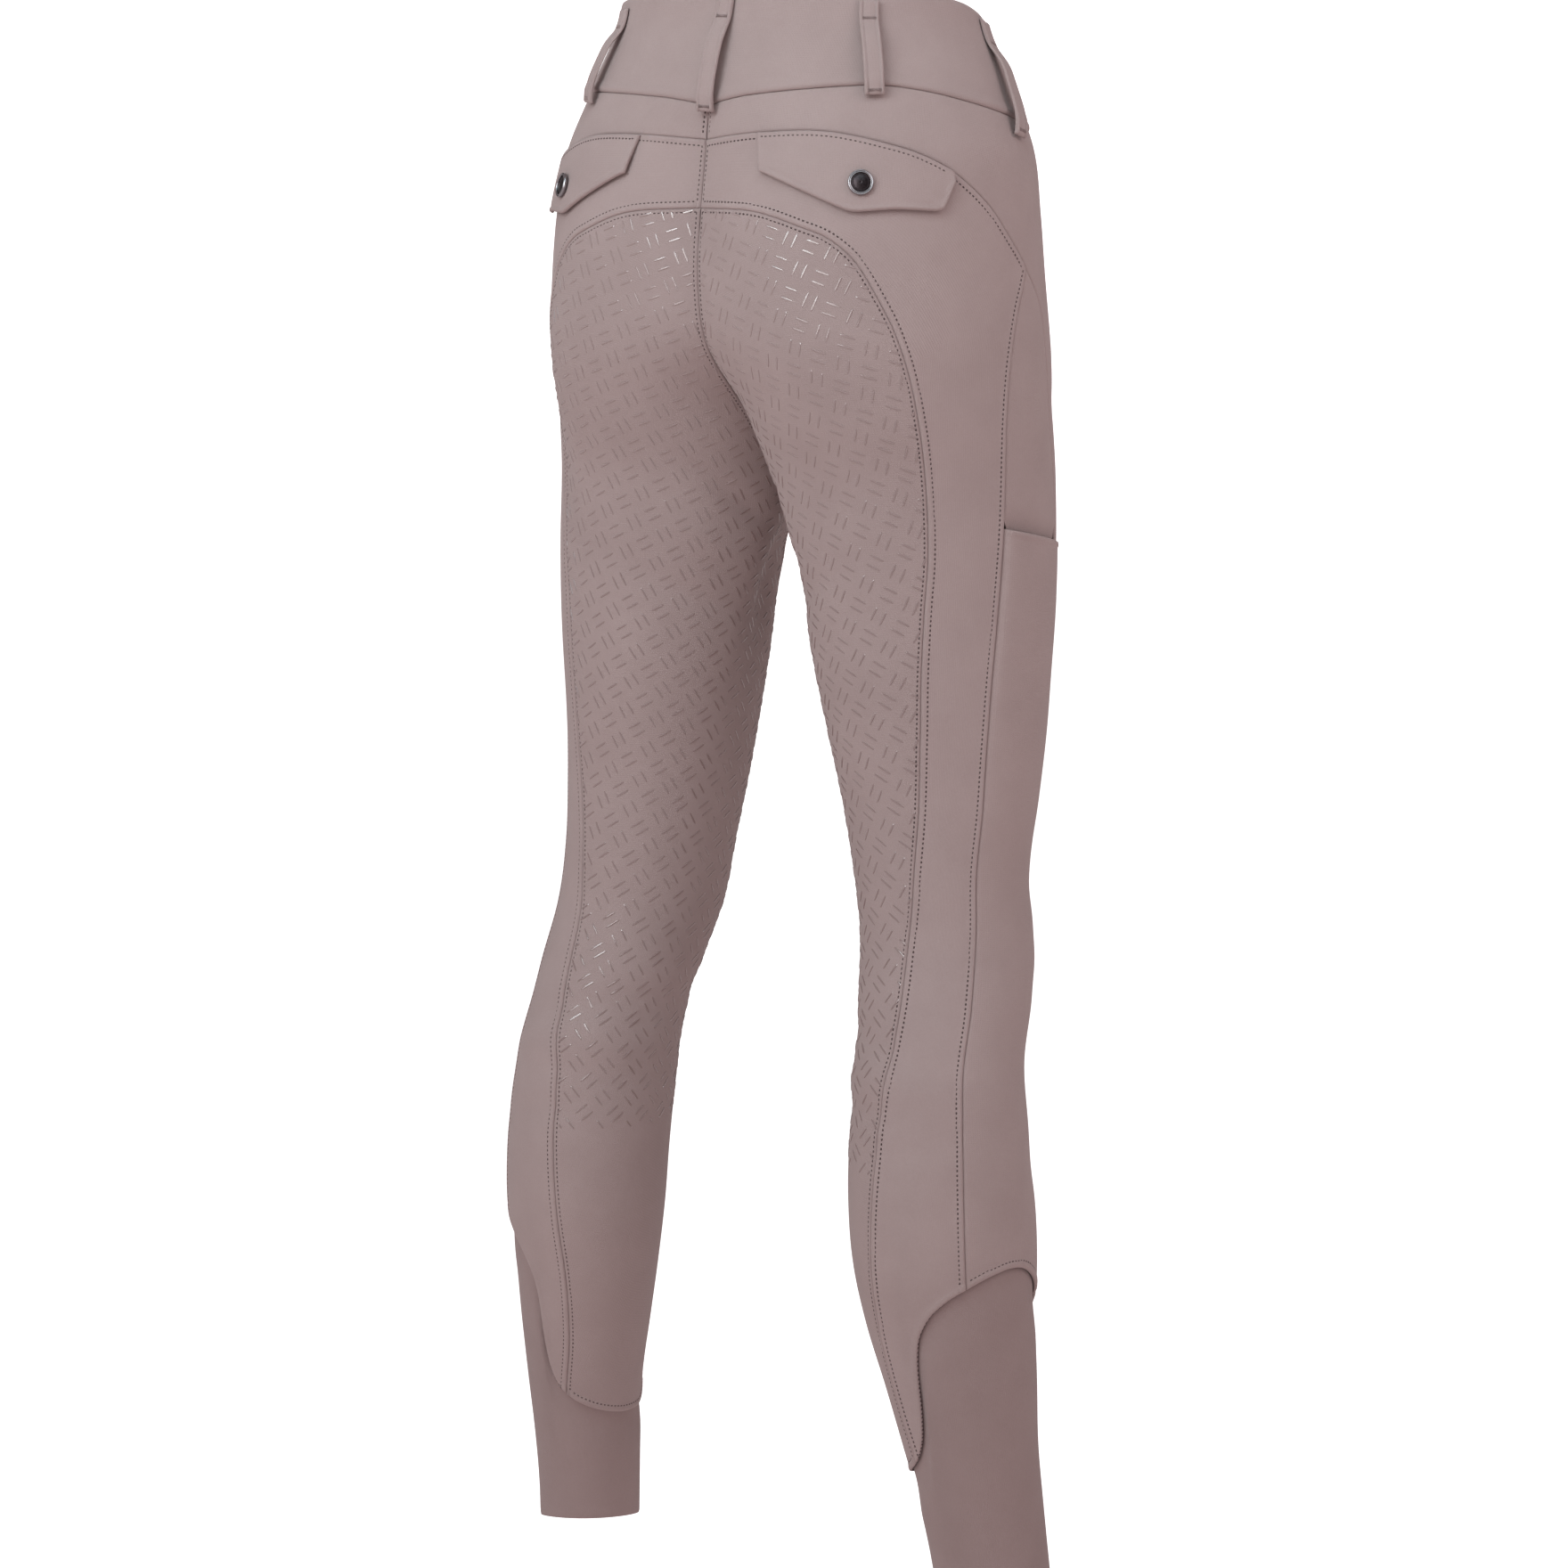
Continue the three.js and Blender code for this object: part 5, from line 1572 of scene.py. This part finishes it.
def world():
    """Soft light from all round, half as strong from above and weak from the front."""
    made = bpy.data.worlds.new("studio")
    made.use_nodes = True
    tree = made.node_tree
    where = add_node(tree, "TexCoord")
    parts = add_node(tree, "SeparateXYZ", {"Vector": where.outputs["Generated"]})
    height = add_node(tree, "MapRange", {
        "From Min": -0.15, "From Max": 0.15, "Value": parts.outputs["Z"]})
    room_high = tuple(part / 2 for part in ROOM_LOW)
    colour = add_ramp(tree, height.outputs["Result"], ROOM_LOW, room_high)
    behind = add_node(tree, "VectorMath", {
        0: where.outputs["Generated"], 1: BACK}, operation="DOT_PRODUCT")
    strength = add_node(tree, "MapRange", {
        "From Min": -0.95, "From Max": -0.5, "To Min": ROOM_FRONT, "To Max": ROOM_BACK,
        "Value": behind.outputs["Value"],
    })
    feed(tree, tree.nodes["Background"], {
        "Color": colour, "Strength": strength.outputs["Result"]})
    bpy.context.scene.world = made


# Lamps: name, place back, left and up, height they aim at, size, power, colour

LAMPS = (
    ("key", (1.3, 1.18, 0.68), -0.25, 1.1, 17.5, (0.856, 0.982, 1.0)),
    ("over", (1.2, 0.2, 1.3), -0.3, 1.2, 9.5, (0.72, 0.95, 1.0)),
    ("right", (0.75, -1.35, 0.8), -0.05, 1.0, 6.6, (1.0, 0.94, 0.95)),
    ("shine", (1.5, 0.85, 0.3), -0.3, 1.3, 17, WHITE),
)


def lights():
    """Square soft lamps. The one named shine only shows in glossy faces."""
    for name, (back, left, up), aim, size, power, colour in LAMPS:
        data = bpy.data.lights.new(name, "AREA")
        data.shape = "RECTANGLE"
        data.size = size
        data.size_y = size
        data.energy = power
        data.color = colour
        lamp = link(name, data)
        lamp.location = BACK * back + LEFT * left + UP * up
        lamp.visible_diffuse = name != "shine"
        look(lamp, Vector((0, 0, aim)) - lamp.location)


def look(piece, way):
    piece.rotation_mode = "QUATERNION"
    piece.rotation_quaternion = way.to_track_quat("-Z", "Y")


CAMERA_PITCH = math.radians(7.5)
CAMERA_FAR = 2.6
CAMERA_HEIGHT = -0.157 + WAIST_LIFT * MM
CAMERA_YAW = math.radians(0.211)
CAMERA_LENS = 94.5


def camera():
    level = -BACK * math.cos(CAMERA_YAW) + LEFT * math.sin(CAMERA_YAW)
    data = bpy.data.cameras.new("camera")
    data.lens = CAMERA_LENS
    data.sensor_width = 36
    piece = link("camera", data)
    piece.location = BACK * CAMERA_FAR + UP * CAMERA_HEIGHT
    look(piece, level * math.cos(CAMERA_PITCH) - UP * math.sin(CAMERA_PITCH))
    bpy.context.scene.camera = piece


floor_and_wall()
world()
camera()
lights()
bpy.context.scene.view_settings.view_transform = "Standard"
bpy.context.scene.view_settings.look = "None"
